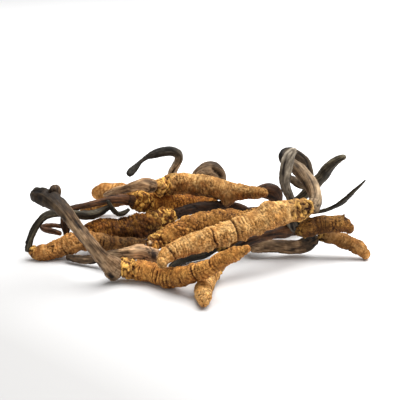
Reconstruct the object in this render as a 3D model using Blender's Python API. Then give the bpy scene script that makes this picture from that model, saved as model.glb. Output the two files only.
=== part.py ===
"""A bundle of dried cordyceps lying in a loose heap, in metres, +Z up.

Each specimen is a dried moth larva with the fungus stalk that grew out of its
head. The heap rests on the plane z = 0. Every larva, stalk and side branch
is its own closed solid, 0.3 mm or more clear of its neighbours.
"""

import bmesh
import bpy
from mathutils import Vector

MM = 0.001
COLLECTION = "cordyceps_bundle"
HELPERS = "cutters"

# The heap's footprint is centred on the origin by this shift of every piece.
CENTRE_X = 0.58 * MM
CENTRE_Y = -5.74 * MM

LARVA_SIDES = 10
STALK_SIDES = 8
RING_SPACING = 1.9
JOINT_GAP = 0.35 * MM
TABLE_SIZE = 0.2
TABLE_DEPTH = 0.02

# Finishes: base colour (linear), roughness.
GOLD = ((0.45, 0.23, 0.07, 1.0), 0.75)
TAN = ((0.30, 0.15, 0.05, 1.0), 0.8)
BROWN = ((0.16, 0.07, 0.025, 1.0), 0.8)
ORANGE = ((0.38, 0.15, 0.045, 1.0), 0.75)
GREY_STALK = ((0.11, 0.085, 0.06, 1.0), 0.7)
BROWN_STALK = ((0.06, 0.035, 0.022, 1.0), 0.7)
BLACK_STALK = ((0.018, 0.015, 0.012, 1.0), 0.6)

# A route is a row of stations along the middle of a piece: x, y, z and the
# thickness there, in millimetres. Larvae run from tail to head, stalks from
# the head outwards. x runs left to right, y from the front to the back.
LARVAE = {
    # Lies along the front with its belly on the table; the tail climbs over "crossing".
    "front": (TAN, (
        (12, -26.5, 14.5, 2), (10.5, -26, 13.6, 3), (8.5, -25.5, 12.5, 3.8),
        (5.5, -25, 10.8, 4.3), (2, -24.5, 8.5, 4.5), (-2, -22.6, 6.4, 4.8),
        (-5.5, -19.5, 4, 5.2), (-8.4, -16.8, 2.8, 5.4), (-11.1, -14.8, 2.9, 5.4),
        (-14.2, -13.5, 3.2, 5.4), (-17.3, -12.8, 3.5, 5.3), (-20, -12.3, 3.6, 4.9),
        (-21.6, -12.1, 3.4, 4.2))),
    # The longest and palest, slanting across the middle with its tail on "front".
    "long": (GOLD, (
        (-9.7, -21, 7.8, 2.5), (-9.3, -19.5, 8.8, 3.6), (-8, -17.8, 9.8, 4.4),
        (-5.5, -16, 10.5, 5), (-2, -14.3, 11.2, 5.5), (4, -11.8, 12.2, 6),
        (10.5, -9, 13.5, 6.3), (15, -7, 14.5, 6.6), (19, -5.3, 15.6, 6.8),
        (23, -3.5, 16.2, 6.5), (26.5, -1.8, 16.5, 6), (29, 0, 16.5, 5))),
    # Behind "long", parallel to it.
    "middle": (TAN, (
        (16.5, 7.5, 10.8, 2.8), (14.5, 6.6, 10.8, 4.2), (11, 5.7, 10.8, 5.4),
        (7, 4.6, 11.2, 6), (3, 3.6, 11.1, 6), (-1.5, 2.4, 10.7, 6),
        (-5, 1, 9.7, 5.9), (-8.5, -0.3, 8.4, 5.5), (-11, -1.5, 7.4, 5),
        (-13.3, -3, 6.8, 4))),
    # Far left, its head at the heap's end and its tail tucked under "dark".
    "left": (ORANGE, (
        (-16, 10.2, 2.5, 2.2), (-18, 9.2, 2.7, 3.4), (-21.5, 8.1, 2.9, 4.3),
        (-25, 7.2, 3.3, 4.9), (-29, 6.3, 4.3, 5.3), (-31.7, 5.5, 5, 5.6),
        (-34.5, 4.7, 4.8, 5.8), (-37, 4.1, 4.1, 5.6), (-40, 3.7, 3, 5.1),
        (-42.7, 3.4, 2.2, 4.7), (-45.2, 3.4, 2.1, 4), (-46.8, 3.5, 2.7, 3))),
    # The stoutest, left of the middle.
    "dark": (BROWN, (
        (-32.4, 12, 5.8, 3), (-30.8, 13, 5.2, 5.8), (-27.7, 13.8, 4.3, 7.8),
        (-23.8, 14.6, 4, 8.2), (-20, 15.5, 4.6, 7.9), (-16, 16.4, 5.5, 7.6),
        (-12.4, 17.1, 6.6, 6.7), (-9.5, 17.7, 7.5, 5.5), (-7.6, 18.1, 8, 4.2))),
    # Points straight to the front, under "front".
    "crossing": (GOLD, (
        (0.9, -31.2, 2, 2.8), (0.9, -28.5, 2.3, 4), (0.8, -24.5, 2.3, 4.6),
        (1.2, -21.5, 2.1, 4.6), (1.9, -17.2, 2.6, 4.9), (3.4, -13.9, 3.5, 4.6),
        (5, -11.3, 4.5, 4))),
    # On top of the heap.
    "top": (GOLD, (
        (18.4, 15, 15.7, 2.6), (16.8, 16.7, 15.2, 3.6), (13.5, 18.5, 14.8, 4.1),
        (9.5, 20.3, 14.7, 5), (5, 22, 14.9, 5.8), (1, 23.3, 15.4, 6.1),
        (-3.2, 24.1, 15.7, 6.2), (-7, 24.3, 15.6, 6.2), (-10, 23.4, 15.1, 5.9),
        (-12.4, 21.8, 15.1, 5.2))),
    # Upper left at the back; its stalk makes the tall hook.
    "hooked": (ORANGE, (
        (-31.4, 32.2, 10.2, 3.8), (-30, 31.8, 10.5, 5.2), (-27.5, 31.4, 10.9, 5.4),
        (-24, 30.9, 10.8, 5.5), (-19.7, 30.5, 11, 5.5), (-15.5, 30.1, 12, 5.3),
        (-12.2, 29.7, 13, 4.7))),
    # In the shade under "top".
    "shaded": (BROWN, (
        (4.5, 34, 7.2, 3), (2, 33.2, 7.4, 4.2), (-3.6, 30, 7.9, 5.2),
        (-7, 28, 8.2, 5.6), (-11, 25.7, 8.9, 5.8), (-14.6, 23.9, 9.7, 6),
        (-17.4, 21.8, 10.9, 5.7), (-19.1, 20.2, 11.5, 4.6))),
    # Right end, resting over "low"; its stalk stands up behind "long".
    "right": (TAN, (
        (41.3, 2.1, 8.9, 2.3), (40.4, 1.9, 10.1, 3.5), (38.6, 1.7, 11.1, 4),
        (35.8, 1.6, 11.4, 4.3), (32.5, 1.6, 11, 4.6), (30, 1.5, 10.2, 4.8),
        (28, 1.6, 9.3, 4.4), (27.1, 1.8, 8.8, 3.6))),
    # Lowest at the right end, tail on the table.
    "low": (ORANGE, (
        (46.1, 2.6, 1, 2.2), (45.7, 3.4, 1.8, 3.4), (43.8, 4.2, 3.4, 4),
        (41.1, 5, 4.6, 4.1), (38.2, 5.6, 5.4, 3.8), (35.4, 5.9, 5.7, 3.4),
        (33.4, 6.1, 5.8, 2.9))),
    # At the very back on the left, flat on the table.
    "looped": (TAN, (
        (-36.5, 40.5, 1.7, 2.4), (-35, 40.5, 1.8, 3.4), (-32.5, 40.7, 2.5, 3.7),
        (-29.5, 41, 3.7, 3.7), (-25.3, 41.3, 5.2, 3.9), (-21, 41.4, 5.9, 4.3),
        (-16.7, 41.3, 6.1, 4.4), (-13.6, 41.1, 6.1, 4), (-12, 40.9, 6.2, 3.4))),
    # Back right, mostly hidden.
    "back_right": (ORANGE, (
        (34.3, 27.5, 1.2, 2.7), (32.4, 26.4, 2, 4.2), (29.4, 25.4, 3.8, 5.3),
        (26, 24.3, 5.8, 5.6), (22.5, 23.2, 8.2, 5.4), (20.5, 22.1, 9.3, 4.4))),
    # Back middle, flat on the table; its stalk is the horn at the right.
    "horned": (BROWN, (
        (-1.3, 27.8, 2.6, 3), (1.2, 28.2, 2.2, 4.5), (6, 28.5, 2.5, 5.2),
        (10.8, 28.8, 3.2, 5.3), (15, 29, 3.7, 5.2), (17.8, 29.2, 3.9, 4.3))),
    # Hidden below "long".
    "under": (BROWN, (
        (19.2, 10.5, 6.6, 2.6), (17.4, 9.1, 6.5, 4), (14, 7.7, 5.6, 4.7),
        (10.3, 6.3, 4.9, 4.8), (7, 5.2, 4.3, 4.5), (4.6, 4.3, 3.9, 3.7))),
}
STALKS = {
    # Climbs to the upper left and curls over in two lobes.
    "front": (GREY_STALK, (
        (-22.3, -12.6, 3.9, 4.8), (-23.6, -13.5, 5, 4.8), (-25.4, -15.5, 7.7, 4),
        (-28, -16.5, 11.4, 3.4), (-31.9, -15, 16.2, 3.2), (-35.2, -13, 20, 3.6),
        (-38.4, -9.5, 21.4, 4.3), (-40.7, -6.5, 21.3, 4.8), (-42.6, -3.8, 21.1, 4.4),
        (-43.4, -1.2, 20.9, 3.4))),
    # Rises, turns back on itself at the top and tucks its tip in behind.
    "long": (GREY_STALK, (
        (31, 2.7, 15.8, 3.8), (31.7, 4.6, 17, 3.8), (31.4, 6.4, 18.7, 4),
        (30.5, 8.1, 20.4, 4.2), (29.1, 9.9, 22, 4.2), (27.6, 11.7, 23.3, 4.1),
        (25.8, 13.6, 24.4, 3.5), (23.9, 15.5, 25.2, 3), (23.5, 17.4, 26.3, 2.8),
        (25.2, 18.9, 26.6, 3), (27.7, 20, 25.1, 3.3), (29.8, 20.8, 23.1, 3.2),
        (31, 21.6, 20.7, 2.8), (31.4, 22.3, 18, 2.6), (30.2, 22.9, 15.9, 2.7),
        (28.2, 23.6, 16.3, 2.6), (26.2, 24.3, 17.5, 1.8))),
    # Arches down to the left, its tip on the table.
    "middle": (GREY_STALK, (
        (-12.8, -5.3, 4.5, 3.6), (-14.4, -5.8, 5.1, 4.3), (-16.4, -6.4, 5.8, 4.2),
        (-18.7, -6.1, 5.3, 3.6), (-21.3, -4.9, 4.5, 3.4), (-24.4, -3.8, 3.8, 3.2),
        (-27.5, -2.7, 2.8, 2.9), (-30.7, -1.5, 1.9, 2.5), (-34, -0.2, 1.6, 2.2),
        (-36.5, 0.9, 1.7, 1.6))),
    # A thin black arch that runs back over the left end.
    "left": (BLACK_STALK, (
        (-47.5, 3.7, 4.2, 1.9), (-47.1, 4, 5.8, 1.9), (-46.1, 4.5, 8, 1.9),
        (-44.7, 5.2, 10.2, 2), (-42.8, 6.3, 11.8, 2.1), (-40.6, 7.5, 12.1, 2.1),
        (-37.7, 8.9, 11.6, 2.1), (-34.3, 10.6, 10.7, 2.4), (-30.8, 12.4, 10, 2.8),
        (-28.1, 14.1, 10.5, 2.4), (-26, 15.9, 11.2, 1.6))),
    # Runs right in the shade between "top" and "middle".
    "dark": (BLACK_STALK, (
        (-6, 18.5, 8.6, 3.4), (-4.3, 18.8, 9.2, 3.4), (-2, 19.2, 9.7, 3.4),
        (1, 19.9, 9.9, 3.4), (4, 20.6, 9.9, 3.4), (7.6, 21.4, 9.7, 3.3),
        (10.6, 22.2, 9.1, 2.8), (14, 22.9, 8, 1.9), (17.2, 23.4, 8.2, 1.2))),
    # Runs right below "long".
    "crossing": (BROWN_STALK, (
        (7.2, -8.8, 5.5, 2.6), (9.5, -6.8, 6.7, 2.7), (12.5, -5, 8, 2.6),
        (16, -2.8, 8.7, 2.5), (19.5, -0.5, 8.8, 2.5), (23.2, 2.6, 8.3, 2.4),
        (25.8, 5.3, 7.5, 2.6), (28.2, 7.6, 6.8, 2.2))),
    # Tapers away to the left from the head.
    "top": (GREY_STALK, (
        (-14.3, 19.8, 16.4, 3.9), (-16.1, 19.2, 17, 3.5), (-18.7, 19.4, 16.4, 2.8),
        (-21.6, 20.6, 15.1, 2.4), (-24.6, 21.7, 14, 2.2), (-27, 22.8, 12.9, 1.6),
        (-28, 23.8, 12.1, 1))),
    # The tall hook: up, over to the left and down to a club-shaped tip.
    "hooked": (BLACK_STALK, (
        (-8.7, 29.2, 14.6, 2.8), (-8.4, 29, 16.1, 2.5), (-8, 28.6, 18.2, 2.4),
        (-7, 28.1, 20.2, 2.2), (-6.2, 27.4, 22.2, 2.1), (-6.6, 26.6, 24, 2.3),
        (-8.3, 25.8, 25, 2.4), (-10.7, 24.9, 25.1, 2.4), (-13.3, 23.9, 24.6, 2),
        (-15.4, 22.9, 23.9, 1.3), (-17, 21.8, 23, 1), (-18.2, 20.7, 21.9, 1.5),
        (-19.5, 19.7, 20.7, 2), (-20.4, 18.7, 20.1, 1.6))),
    # Runs left, then hangs down behind "front".
    "shaded": (BROWN_STALK, (
        (-20.4, 18.7, 12.3, 3.2), (-22.3, 17.3, 13.2, 2.6), (-25.1, 16, 13.4, 2.1),
        (-28.2, 15, 13, 1.8), (-31.2, 14.1, 12.6, 1.8), (-34, 13.3, 12.2, 1.8),
        (-36.5, 12.6, 11.7, 1.9), (-38.1, 12, 10.6, 1.9), (-38.4, 11.5, 8.5, 2.1),
        (-37.9, 11, 6.3, 2.1), (-37.8, 10.6, 4.7, 1.6))),
    # Stands up behind "long" and widens to a folded blade at the top.
    "right": (GREY_STALK, (
        (25.6, 2, 10.8, 3), (24.6, 2, 13.2, 2.9), (25, 2.4, 14.8, 2.6),
        (25.3, 2.9, 16.4, 2.3), (24.6, 3.6, 18.2, 2.2), (23.6, 4.3, 20.3, 2.4),
        (23.1, 5.1, 22.4, 2.8), (23.4, 6, 24.9, 3.3), (23.9, 6.9, 27.2, 3.6),
        (24.8, 7.9, 29, 3), (26.2, 8.9, 30, 1.5))),
    # Pale, low along the table under "long".
    "low": (GREY_STALK, (
        (31.2, 6, 4.6, 3.4), (29.7, 6, 3.6, 4), (27.8, 6, 2.8, 4), (25, 5.8, 2.8, 3.8), (21.7, 5.4, 3.2, 3.7), (18.4, 4.9, 3.5, 3.5),
        (15.8, 4.4, 3.4, 3.1), (14.2, 3.9, 3.2, 2.3))),
    # Comes up behind "top" and folds over in a thick knob.
    "looped": (GREY_STALK, (
        (-9.9, 40.6, 6.3, 3), (-4.9, 40.3, 6.4, 3), (0.4, 39.8, 7.2, 2.9),
        (4.6, 39.1, 9.5, 3.3), (5.9, 38.2, 12.5, 4.2), (5, 37.3, 15.1, 4.8),
        (2.7, 36.4, 16.3, 4.6), (0.3, 35.5, 15.7, 4), (-1.5, 34.6, 14.6, 2.8))),
    # Short and thick, bending over to the left behind the tail of "top".
    "back_right": (BROWN_STALK, (
        (21.9, 21.5, 11, 3.8), (21.7, 21, 13, 4.6), (20.5, 20.7, 14.3, 4.7),
        (18.5, 20.8, 14.4, 3.9), (16.6, 21, 14.2, 2.8))),
    # The horn that rises to the right.
    "horned": (BLACK_STALK, (
        (20.4, 29.3, 3.6, 3.5), (24.6, 29.2, 5.6, 3.2), (29, 29.1, 8.7, 3.2),
        (32.3, 28.6, 12.3, 3.5), (34.5, 27.9, 15.2, 3.8), (36.1, 27.1, 17.3, 3.7),
        (37.2, 26.2, 19.5, 3.3), (38.7, 25.2, 21.6, 2.9), (40.4, 24.2, 23.2, 2.3),
        (41.6, 23.2, 24, 1.7))),
    # Comes forward between "front" and "long", its tip on the table.
    "under": (BLACK_STALK, (
        (3, 3.5, 2.9, 2.7), (0.6, 2.3, 1.8, 2.5), (-2.2, 1, 1.7, 2.3),
        (-4.4, -0.6, 1.6, 2.2), (-6.5, -2.6, 1.2, 2), (-8, -4.4, 0.9, 1.5))),
}
# Side branches: finish, the stalk they leave, and the route.
BRANCHES = {
    # The right lobe of the front stalk's curled end.
    "stalk_front_lobe": (GREY_STALK, "front", (
        (-38.2, -7.8, 21.6, 2.6), (-38, -7.4, 22.6, 3.3), (-38.1, -7, 23.5, 3.4),
        (-38.3, -6.6, 24.2, 2.6))),
    # A thin strand that leaves the hanging end, doubles back and comes in again.
    "stalk_shaded_strand": (BROWN_STALK, "shaded", (
        (-40.4, 14, 6.2, 1.3), (-42.4, 13.5, 6.5, 1.4), (-44.2, 12.6, 6.6, 1.4),
        (-44.8, 11.8, 6.3, 1.3), (-43.6, 11, 6, 1.5), (-41.2, 10.2, 5.8, 1.7),
        (-39.3, 9.5, 5.5, 1.4))),
    # A fine curl under the brown stalk.
    "stalk_shaded_curl": (BLACK_STALK, "shaded", (
        (-25.3, 14, 12.1, 1.1), (-24.7, 14.1, 11, 1.4), (-23.8, 14.5, 9.9, 1.5),
        (-22.7, 14.8, 9.5, 1.6), (-21.3, 15.1, 10, 1.5), (-20.3, 15.3, 10.7, 1.2))),
    # The long thin spike that forks off the horn.
    "stalk_horned_spike": (BLACK_STALK, "horned", (
        (30, 27, 8.8, 1.8), (31.5, 24.5, 8.4, 1.5), (33.5, 22, 7.8, 1.2),
        (36, 20, 8.8, 1.2), (38.3, 18, 10.5, 1.3), (40.2, 16, 12.4, 1.5),
        (41.8, 14, 14.8, 1.5), (43.4, 12.5, 17.2, 1.3), (44.8, 11, 19.3, 1),
        (45.8, 9.5, 21.1, 0.6))),
}


def clear_scene():
    """Removes whatever the scene starts with."""
    for found in list(bpy.data.objects):
        bpy.data.objects.remove(found, do_unlink=True)


def new_collection(name):
    """A collection linked to the scene."""
    collection = bpy.data.collections.new(name)
    bpy.context.scene.collection.children.link(collection)
    return collection


def finish(name, colour, roughness):
    """A plain Principled material."""
    material = bpy.data.materials.new(name)
    material.use_nodes = True
    shader = material.node_tree.nodes["Principled BSDF"]
    shader.inputs["Base Color"].default_value = colour
    shader.inputs["Roughness"].default_value = roughness
    shader.inputs["Metallic"].default_value = 0.0
    material.diffuse_color = colour
    return material


def along(stations, position):
    """The smooth curve through the stations at a position counted in spans."""
    last = len(stations) - 1
    span = min(int(position), last - 1)
    t = position - span
    here = Vector(stations[span])
    there = Vector(stations[span + 1])
    before = Vector(stations[span - 1]) if span else here * 2 - there
    after = Vector(stations[span + 2]) if span + 2 <= last else there * 2 - here
    return 0.5 * (
        here * 2
        + (there - before) * t
        + (before * 2 - here * 5 + there * 4 - after) * t**2
        + (here * 3 - before - there * 3 + after) * t**3
    )


def smooth_route(stations):
    """Points and radii in metres through the stations, with the ends rounded off."""
    spans = len(stations) - 1
    places = [Vector(station[:3]) for station in stations]
    length = sum((b - a).length for a, b in zip(places, places[1:]))
    steps = max(spans, round(length / RING_SPACING))
    samples = [along(stations, spans * step / steps) for step in range(steps + 1)]
    points = [(Vector(s[:3]) * MM, s[3] / 2 * MM) for s in samples]
    for end, inner in ((0, 1), (-1, -2)):
        tip, radius = points[end]
        outward = (tip - points[inner][0]).normalized()
        cap = (tip + outward * radius * 0.55, radius * 0.7)
        points.insert(0 if end == 0 else len(points), cap)
    shift = Vector((CENTRE_X, CENTRE_Y, 0.0))
    return [(point + shift, radius) for point, radius in points]


def tube(name, stations, sides, collection, grow=0.0):
    """A round tube along the route with its girth, as a mesh with closed ends."""
    curve = bpy.data.curves.new(name, "CURVE")
    curve.dimensions = "3D"
    curve.twist_mode = "MINIMUM"
    curve.bevel_depth = 1.0
    curve.bevel_resolution = (sides - 4) // 2
    curve.use_fill_caps = True
    route = smooth_route(stations)
    spline = curve.splines.new("POLY")
    spline.points.add(len(route) - 1)
    for point, (place, radius) in zip(spline.points, route):
        point.co = (*place, 1.0)
        point.radius = radius + grow
    raw = bpy.data.objects.new(name + "_curve", curve)
    collection.objects.link(raw)
    bpy.context.view_layer.update()
    graph = bpy.context.evaluated_depsgraph_get()
    mesh = bpy.data.meshes.new_from_object(raw.evaluated_get(graph))
    mesh.name = name
    body = bmesh.new()
    body.from_mesh(mesh)
    bmesh.ops.remove_doubles(body, verts=body.verts, dist=0.00001)
    bmesh.ops.recalc_face_normals(body, faces=body.faces)
    body.to_mesh(mesh)
    body.free()
    piece = bpy.data.objects.new(name, mesh)
    piece.matrix_world = raw.matrix_world
    collection.objects.link(piece)
    bpy.data.objects.remove(raw, do_unlink=True)
    mesh.shade_smooth()
    return piece


def as_cutter(obj):
    """Keeps a helper out of the build and drawn as wire."""
    obj.hide_render = True
    obj.display_type = "WIRE"
    return obj


def cut(piece, cutter, name):
    """Takes the cutter's shape away from the piece."""
    modifier = piece.modifiers.new(name, "BOOLEAN")
    modifier.operation = "DIFFERENCE"
    modifier.solver = "EXACT"
    modifier.object = cutter


def table_block(collection):
    """The block below z = 0 that flattens whatever rests on it."""
    bpy.ops.mesh.primitive_cube_add(size=1.0, location=(0.0, 0.0, -TABLE_DEPTH / 2))
    block = bpy.context.object
    block.name = "table_block"
    block.scale = (TABLE_SIZE, TABLE_SIZE, TABLE_DEPTH)
    for linked in list(block.users_collection):
        linked.objects.unlink(block)
    collection.objects.link(block)
    return as_cutter(block)


def reaches_table(piece):
    """Whether any of the piece lies below z = 0."""
    return min(vertex.co.z for vertex in piece.data.vertices) < 0.0


def main():
    """Builds every piece of the bundle."""
    clear_scene()
    bundle = new_collection(COLLECTION)
    helpers = new_collection(HELPERS)
    block = table_block(helpers)
    pieces = []
    cutters = {}
    for key, (look, stations) in LARVAE.items():
        name = "larva_" + key
        pieces.append((tube(name, stations, LARVA_SIDES, bundle), look))
        grown = tube("room_for_" + name, stations, LARVA_SIDES, helpers, JOINT_GAP)
        cutters[name] = as_cutter(grown)
    for key, (look, stations) in STALKS.items():
        name = "stalk_" + key
        stalk = tube(name, stations, STALK_SIDES, bundle)
        cut(stalk, cutters["larva_" + key], "room_for_head")
        pieces.append((stalk, look))
    for name, (look, parent, stations) in BRANCHES.items():
        branch = tube(name, stations, STALK_SIDES, bundle)
        stem = "stalk_" + parent
        if stem not in cutters:
            route = STALKS[parent][1]
            grown = tube("room_for_" + stem, route, STALK_SIDES, helpers, JOINT_GAP)
            cutters[stem] = as_cutter(grown)
        cut(branch, cutters[stem], "room_for_stem")
        pieces.append((branch, look))
    for piece, (colour, roughness) in pieces:
        piece.data.materials.clear()
        piece.data.materials.append(finish(piece.name + "_finish", colour, roughness))
        if reaches_table(piece):
            cut(piece, block, "flat_on_table")


main()
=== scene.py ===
"""Looks of a bundle of dried cordyceps lying in a loose heap on a pale table.

Each specimen is a dried moth larva with the stalk of the fungus that grew out of
its head. Every larva, stalk and side branch is a closed mesh of its own, made
round the same middle line as its CAD solid, and takes that solid's place.
"""

import logging
import math
from dataclasses import dataclass, field
from enum import Enum
from itertools import product
from typing import Any

import bpy
import numpy as np
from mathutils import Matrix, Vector


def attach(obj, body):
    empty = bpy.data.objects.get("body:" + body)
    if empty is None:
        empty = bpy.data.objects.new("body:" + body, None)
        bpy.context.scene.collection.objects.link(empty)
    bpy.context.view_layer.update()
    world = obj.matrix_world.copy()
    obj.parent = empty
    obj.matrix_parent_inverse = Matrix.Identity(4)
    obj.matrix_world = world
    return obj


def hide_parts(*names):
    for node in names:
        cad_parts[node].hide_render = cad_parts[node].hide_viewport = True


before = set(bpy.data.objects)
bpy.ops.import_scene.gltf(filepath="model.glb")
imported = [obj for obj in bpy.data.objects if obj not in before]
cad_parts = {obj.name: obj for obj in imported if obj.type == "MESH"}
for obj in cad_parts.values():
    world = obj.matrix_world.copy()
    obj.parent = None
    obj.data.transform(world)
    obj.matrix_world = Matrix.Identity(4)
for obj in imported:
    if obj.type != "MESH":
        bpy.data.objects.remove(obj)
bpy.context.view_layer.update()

logging.basicConfig(level=logging.INFO, format="%(message)s")
LOG = logging.getLogger("cordyceps")

MM = 0.001
# The heap's footprint is centred on the origin by this shift of every route, in mm.
CENTRE = np.array((0.58, -5.74, 0.0))
# The lowest that any surface may lie above the table, in mm.
TABLE_CLEARANCE = 0.02


# ---------------------------------------------------------------- patterns


def hashed(cells: np.ndarray, seed: int) -> np.ndarray:
    """Repeatable random numbers for whole-number cells.

    Args:
        cells: Cell numbers, three in the last axis.
        seed: Which of the many random fields to read.

    Returns:
        One number from 0 to 1 for each cell.
    """
    # Large primes and mixed-up bits keep neighbouring cells unlike each other.
    whole = cells.astype(np.int64)
    mixed = whole[..., 0] * 73856093 ^ whole[..., 1] * 19349663
    mixed = mixed ^ whole[..., 2] * 83492791 ^ (seed + 1) * 2654435761
    for turn in (15, 12, 14):
        mixed = ((mixed ^ (mixed >> turn)) * 0x2C1B3C6D) & 0xFFFFFFFF
    return ((mixed ^ (mixed >> 16)) & 0xFFFFFF) / float(0x1000000)


def cloudy(places: np.ndarray, size: float, seed: int) -> np.ndarray:
    """Smooth random noise.

    Args:
        places: Points, three numbers in the last axis.
        size: Distance over which the noise changes, in the points' unit.
        seed: Which random field to read.

    Returns:
        A value from -1 to 1 at each point.
    """
    scaled = places / size
    cell = np.floor(scaled)
    share = scaled - cell
    share = share * share * (3.0 - 2.0 * share)
    total = np.zeros(places.shape[:-1])
    for corner in product((0, 1), repeat=3):
        weight = np.where(np.array(corner) == 1, share, 1.0 - share).prod(-1)
        total += weight * hashed(cell + corner, seed)
    return 2.0 * total - 1.0


def crumbs(places: np.ndarray, size: float, seed: int) -> tuple[np.ndarray, ...]:
    """Scattered cells, for a crumbly surface.

    Args:
        places: Points, three numbers in the last axis.
        size: Width of a crumb, in the points' unit.
        seed: Which random field to read.

    Returns:
        The distance to the nearest crumb's middle, how much further the second
        nearest is, both in crumb widths, and the nearest crumb's random tone.
    """
    scaled = places / size
    cell = np.floor(scaled)
    first = np.full(places.shape[:-1], np.inf)
    second, tone = first.copy(), np.zeros_like(first)
    for step in product((-1, 0, 1), repeat=3):
        other = cell + step
        middle = other + np.stack([hashed(other, seed + k) for k in range(3)], -1)
        away = np.linalg.norm(middle - scaled, axis=-1)
        nearer = away < first
        second = np.where(nearer, first, np.minimum(second, away))
        tone = np.where(nearer, hashed(other, seed + 3), tone)
        first = np.where(nearer, away, first)
    return first, second - first, tone


def eased(value: np.ndarray, low: float, high: float) -> np.ndarray:
    """Smooth step from 0 at low to 1 at high."""
    share = np.clip((value - low) / (high - low), 0.0, 1.0)
    return share * share * (3.0 - 2.0 * share)


def linear(hex_colour: str, alpha: float = 1.0) -> tuple[float, ...]:
    """Turns an sRGB hex colour to linear light.

    Args:
        hex_colour: Six hex digits after a hash sign.
        alpha: The fourth number of the result.

    Returns:
        Red, green, blue and alpha.
    """
    digits = hex_colour.lstrip("#")
    parts = [int(digits[k : k + 2], 16) / 255.0 for k in (0, 2, 4)]
    return (
        *(p / 12.92 if p <= 0.04045 else ((p + 0.055) / 1.055) ** 2.4 for p in parts),
        alpha,
    )


# ---------------------------------------------------------------- middle lines


@dataclass
class Route:
    """The middle line of a piece, with its girth.

    Fields:
        stations: Rows of x, y, z and thickness in mm, before the centring shift.
        pitch: Distance between two rings of the mesh, in mm.
        before: How far the line is carried on behind its first station, in mm.
        cap: How far both ends run on at least, in radii.
        places: The rings' middles in mm, after the centring shift.
        radius: The radius at each ring, in mm.
        run: The distance along the line at each ring, in mm.
        tangent: The line's direction at each ring.
    """

    stations: tuple[tuple[float, ...], ...]
    pitch: float
    before: float = 0.0
    cap: float = 0.55
    places: np.ndarray = field(init=False)
    radius: np.ndarray = field(init=False)
    run: np.ndarray = field(init=False)
    tangent: np.ndarray = field(init=False)

    # Points worked out between two stations, and the fewest rings of a piece.
    FINE = 40
    FEWEST = 8
    # How far an end's rounding reaches, in lengths of the cap.
    ROUNDING = 1.5

    def __post_init__(self) -> None:
        """Samples the smooth curve at even steps, with both ends rounded off."""
        fine = self.curve()
        steps = np.linalg.norm(np.diff(fine[:, :3], axis=0), axis=1)
        run = np.concatenate(([0.0], np.cumsum(steps)))
        start = max(self.cap * fine[0, 3], self.before)
        end = self.cap * fine[-1, 3]
        count = max(int((run[-1] + start + end) / self.pitch), self.FEWEST)
        wanted = np.linspace(-start, run[-1] + end, count)
        inside = np.clip(wanted, 0.0, run[-1])
        values = np.stack([np.interp(inside, run, fine[:, k]) for k in range(4)], 1)
        first = fine[1, :3] - fine[0, :3]
        last = fine[-1, :3] - fine[-2, :3]
        values[:, :3] += np.minimum(wanted, 0.0)[:, None] * first / steps[0]
        beyond = np.maximum(wanted - run[-1], 0.0)[:, None]
        values[:, :3] += beyond * last / steps[-1]
        self.places = values[:, :3] + CENTRE
        self.run = wanted - wanted[0]
        full = self.run[-1]
        # A start that is carried far back stays thick until close to its end.
        reach = self.ROUNDING * self.cap * fine[0, 3]
        self.radius = values[:, 3] * self.rounding(self.run, reach)
        self.radius *= self.rounding(full - self.run, self.ROUNDING * end)
        tangent = np.gradient(self.places, axis=0)
        self.tangent = tangent / np.linalg.norm(tangent, axis=1)[:, None]

    def curve(self) -> np.ndarray:
        """Points and radii closely along the smooth curve through the stations."""
        # The last column turns from a thickness to a radius.
        rows = np.array(self.stations, float) * (1.0, 1.0, 1.0, 0.5)
        rows = np.vstack((2 * rows[0] - rows[1], rows, 2 * rows[-1] - rows[-2]))
        found = []
        for k in range(1, len(rows) - 2):
            before, here, there, after = rows[k - 1 : k + 3]
            t = np.linspace(0.0, 1.0, self.FINE, endpoint=False)[:, None]
            found.append(
                0.5
                * (
                    2 * here
                    + (there - before) * t
                    + (2 * before - 5 * here + 4 * there - after) * t**2
                    + (3 * here - before - 3 * there + after) * t**3
                )
            )
        return np.vstack((*found, rows[-2]))

    @staticmethod
    def rounding(distance: np.ndarray, reach: float) -> np.ndarray:
        """Share of the full girth at a distance from an end that rounds off."""
        share = np.clip(distance / reach, 0.0, 1.0)
        return np.sqrt(np.clip(1.0 - (1.0 - share) ** 2, 0.0, 1.0))

    def carried(
        self, start: tuple[float, float, float]
    ) -> tuple[np.ndarray, np.ndarray]:
        """Two directions across the line that don't spin about it.

        Args:
            start: The direction that the first one starts nearest to.

        Returns:
            The first and the second direction at each ring.
        """
        across = np.empty_like(self.tangent)
        current = np.array(start, float)
        for k, along in enumerate(self.tangent):
            current = current - along * (current @ along)
            current = current / np.linalg.norm(current)
            across[k] = current
        return across, np.cross(self.tangent, across)

    def facing(
        self, wanted: tuple[float, float, float]
    ) -> tuple[np.ndarray, np.ndarray]:
        """Two directions across the line, the first kept nearest to a fixed one.

        Args:
            wanted: The direction that the first one stays nearest to.

        Returns:
            The first and the second direction at each ring.
        """
        across = np.array(wanted) - self.tangent * (self.tangent @ wanted)[:, None]
        across /= np.linalg.norm(across, axis=1)[:, None]
        return across, np.cross(self.tangent, across)


# ---------------------------------------------------------------- finishes


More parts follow.
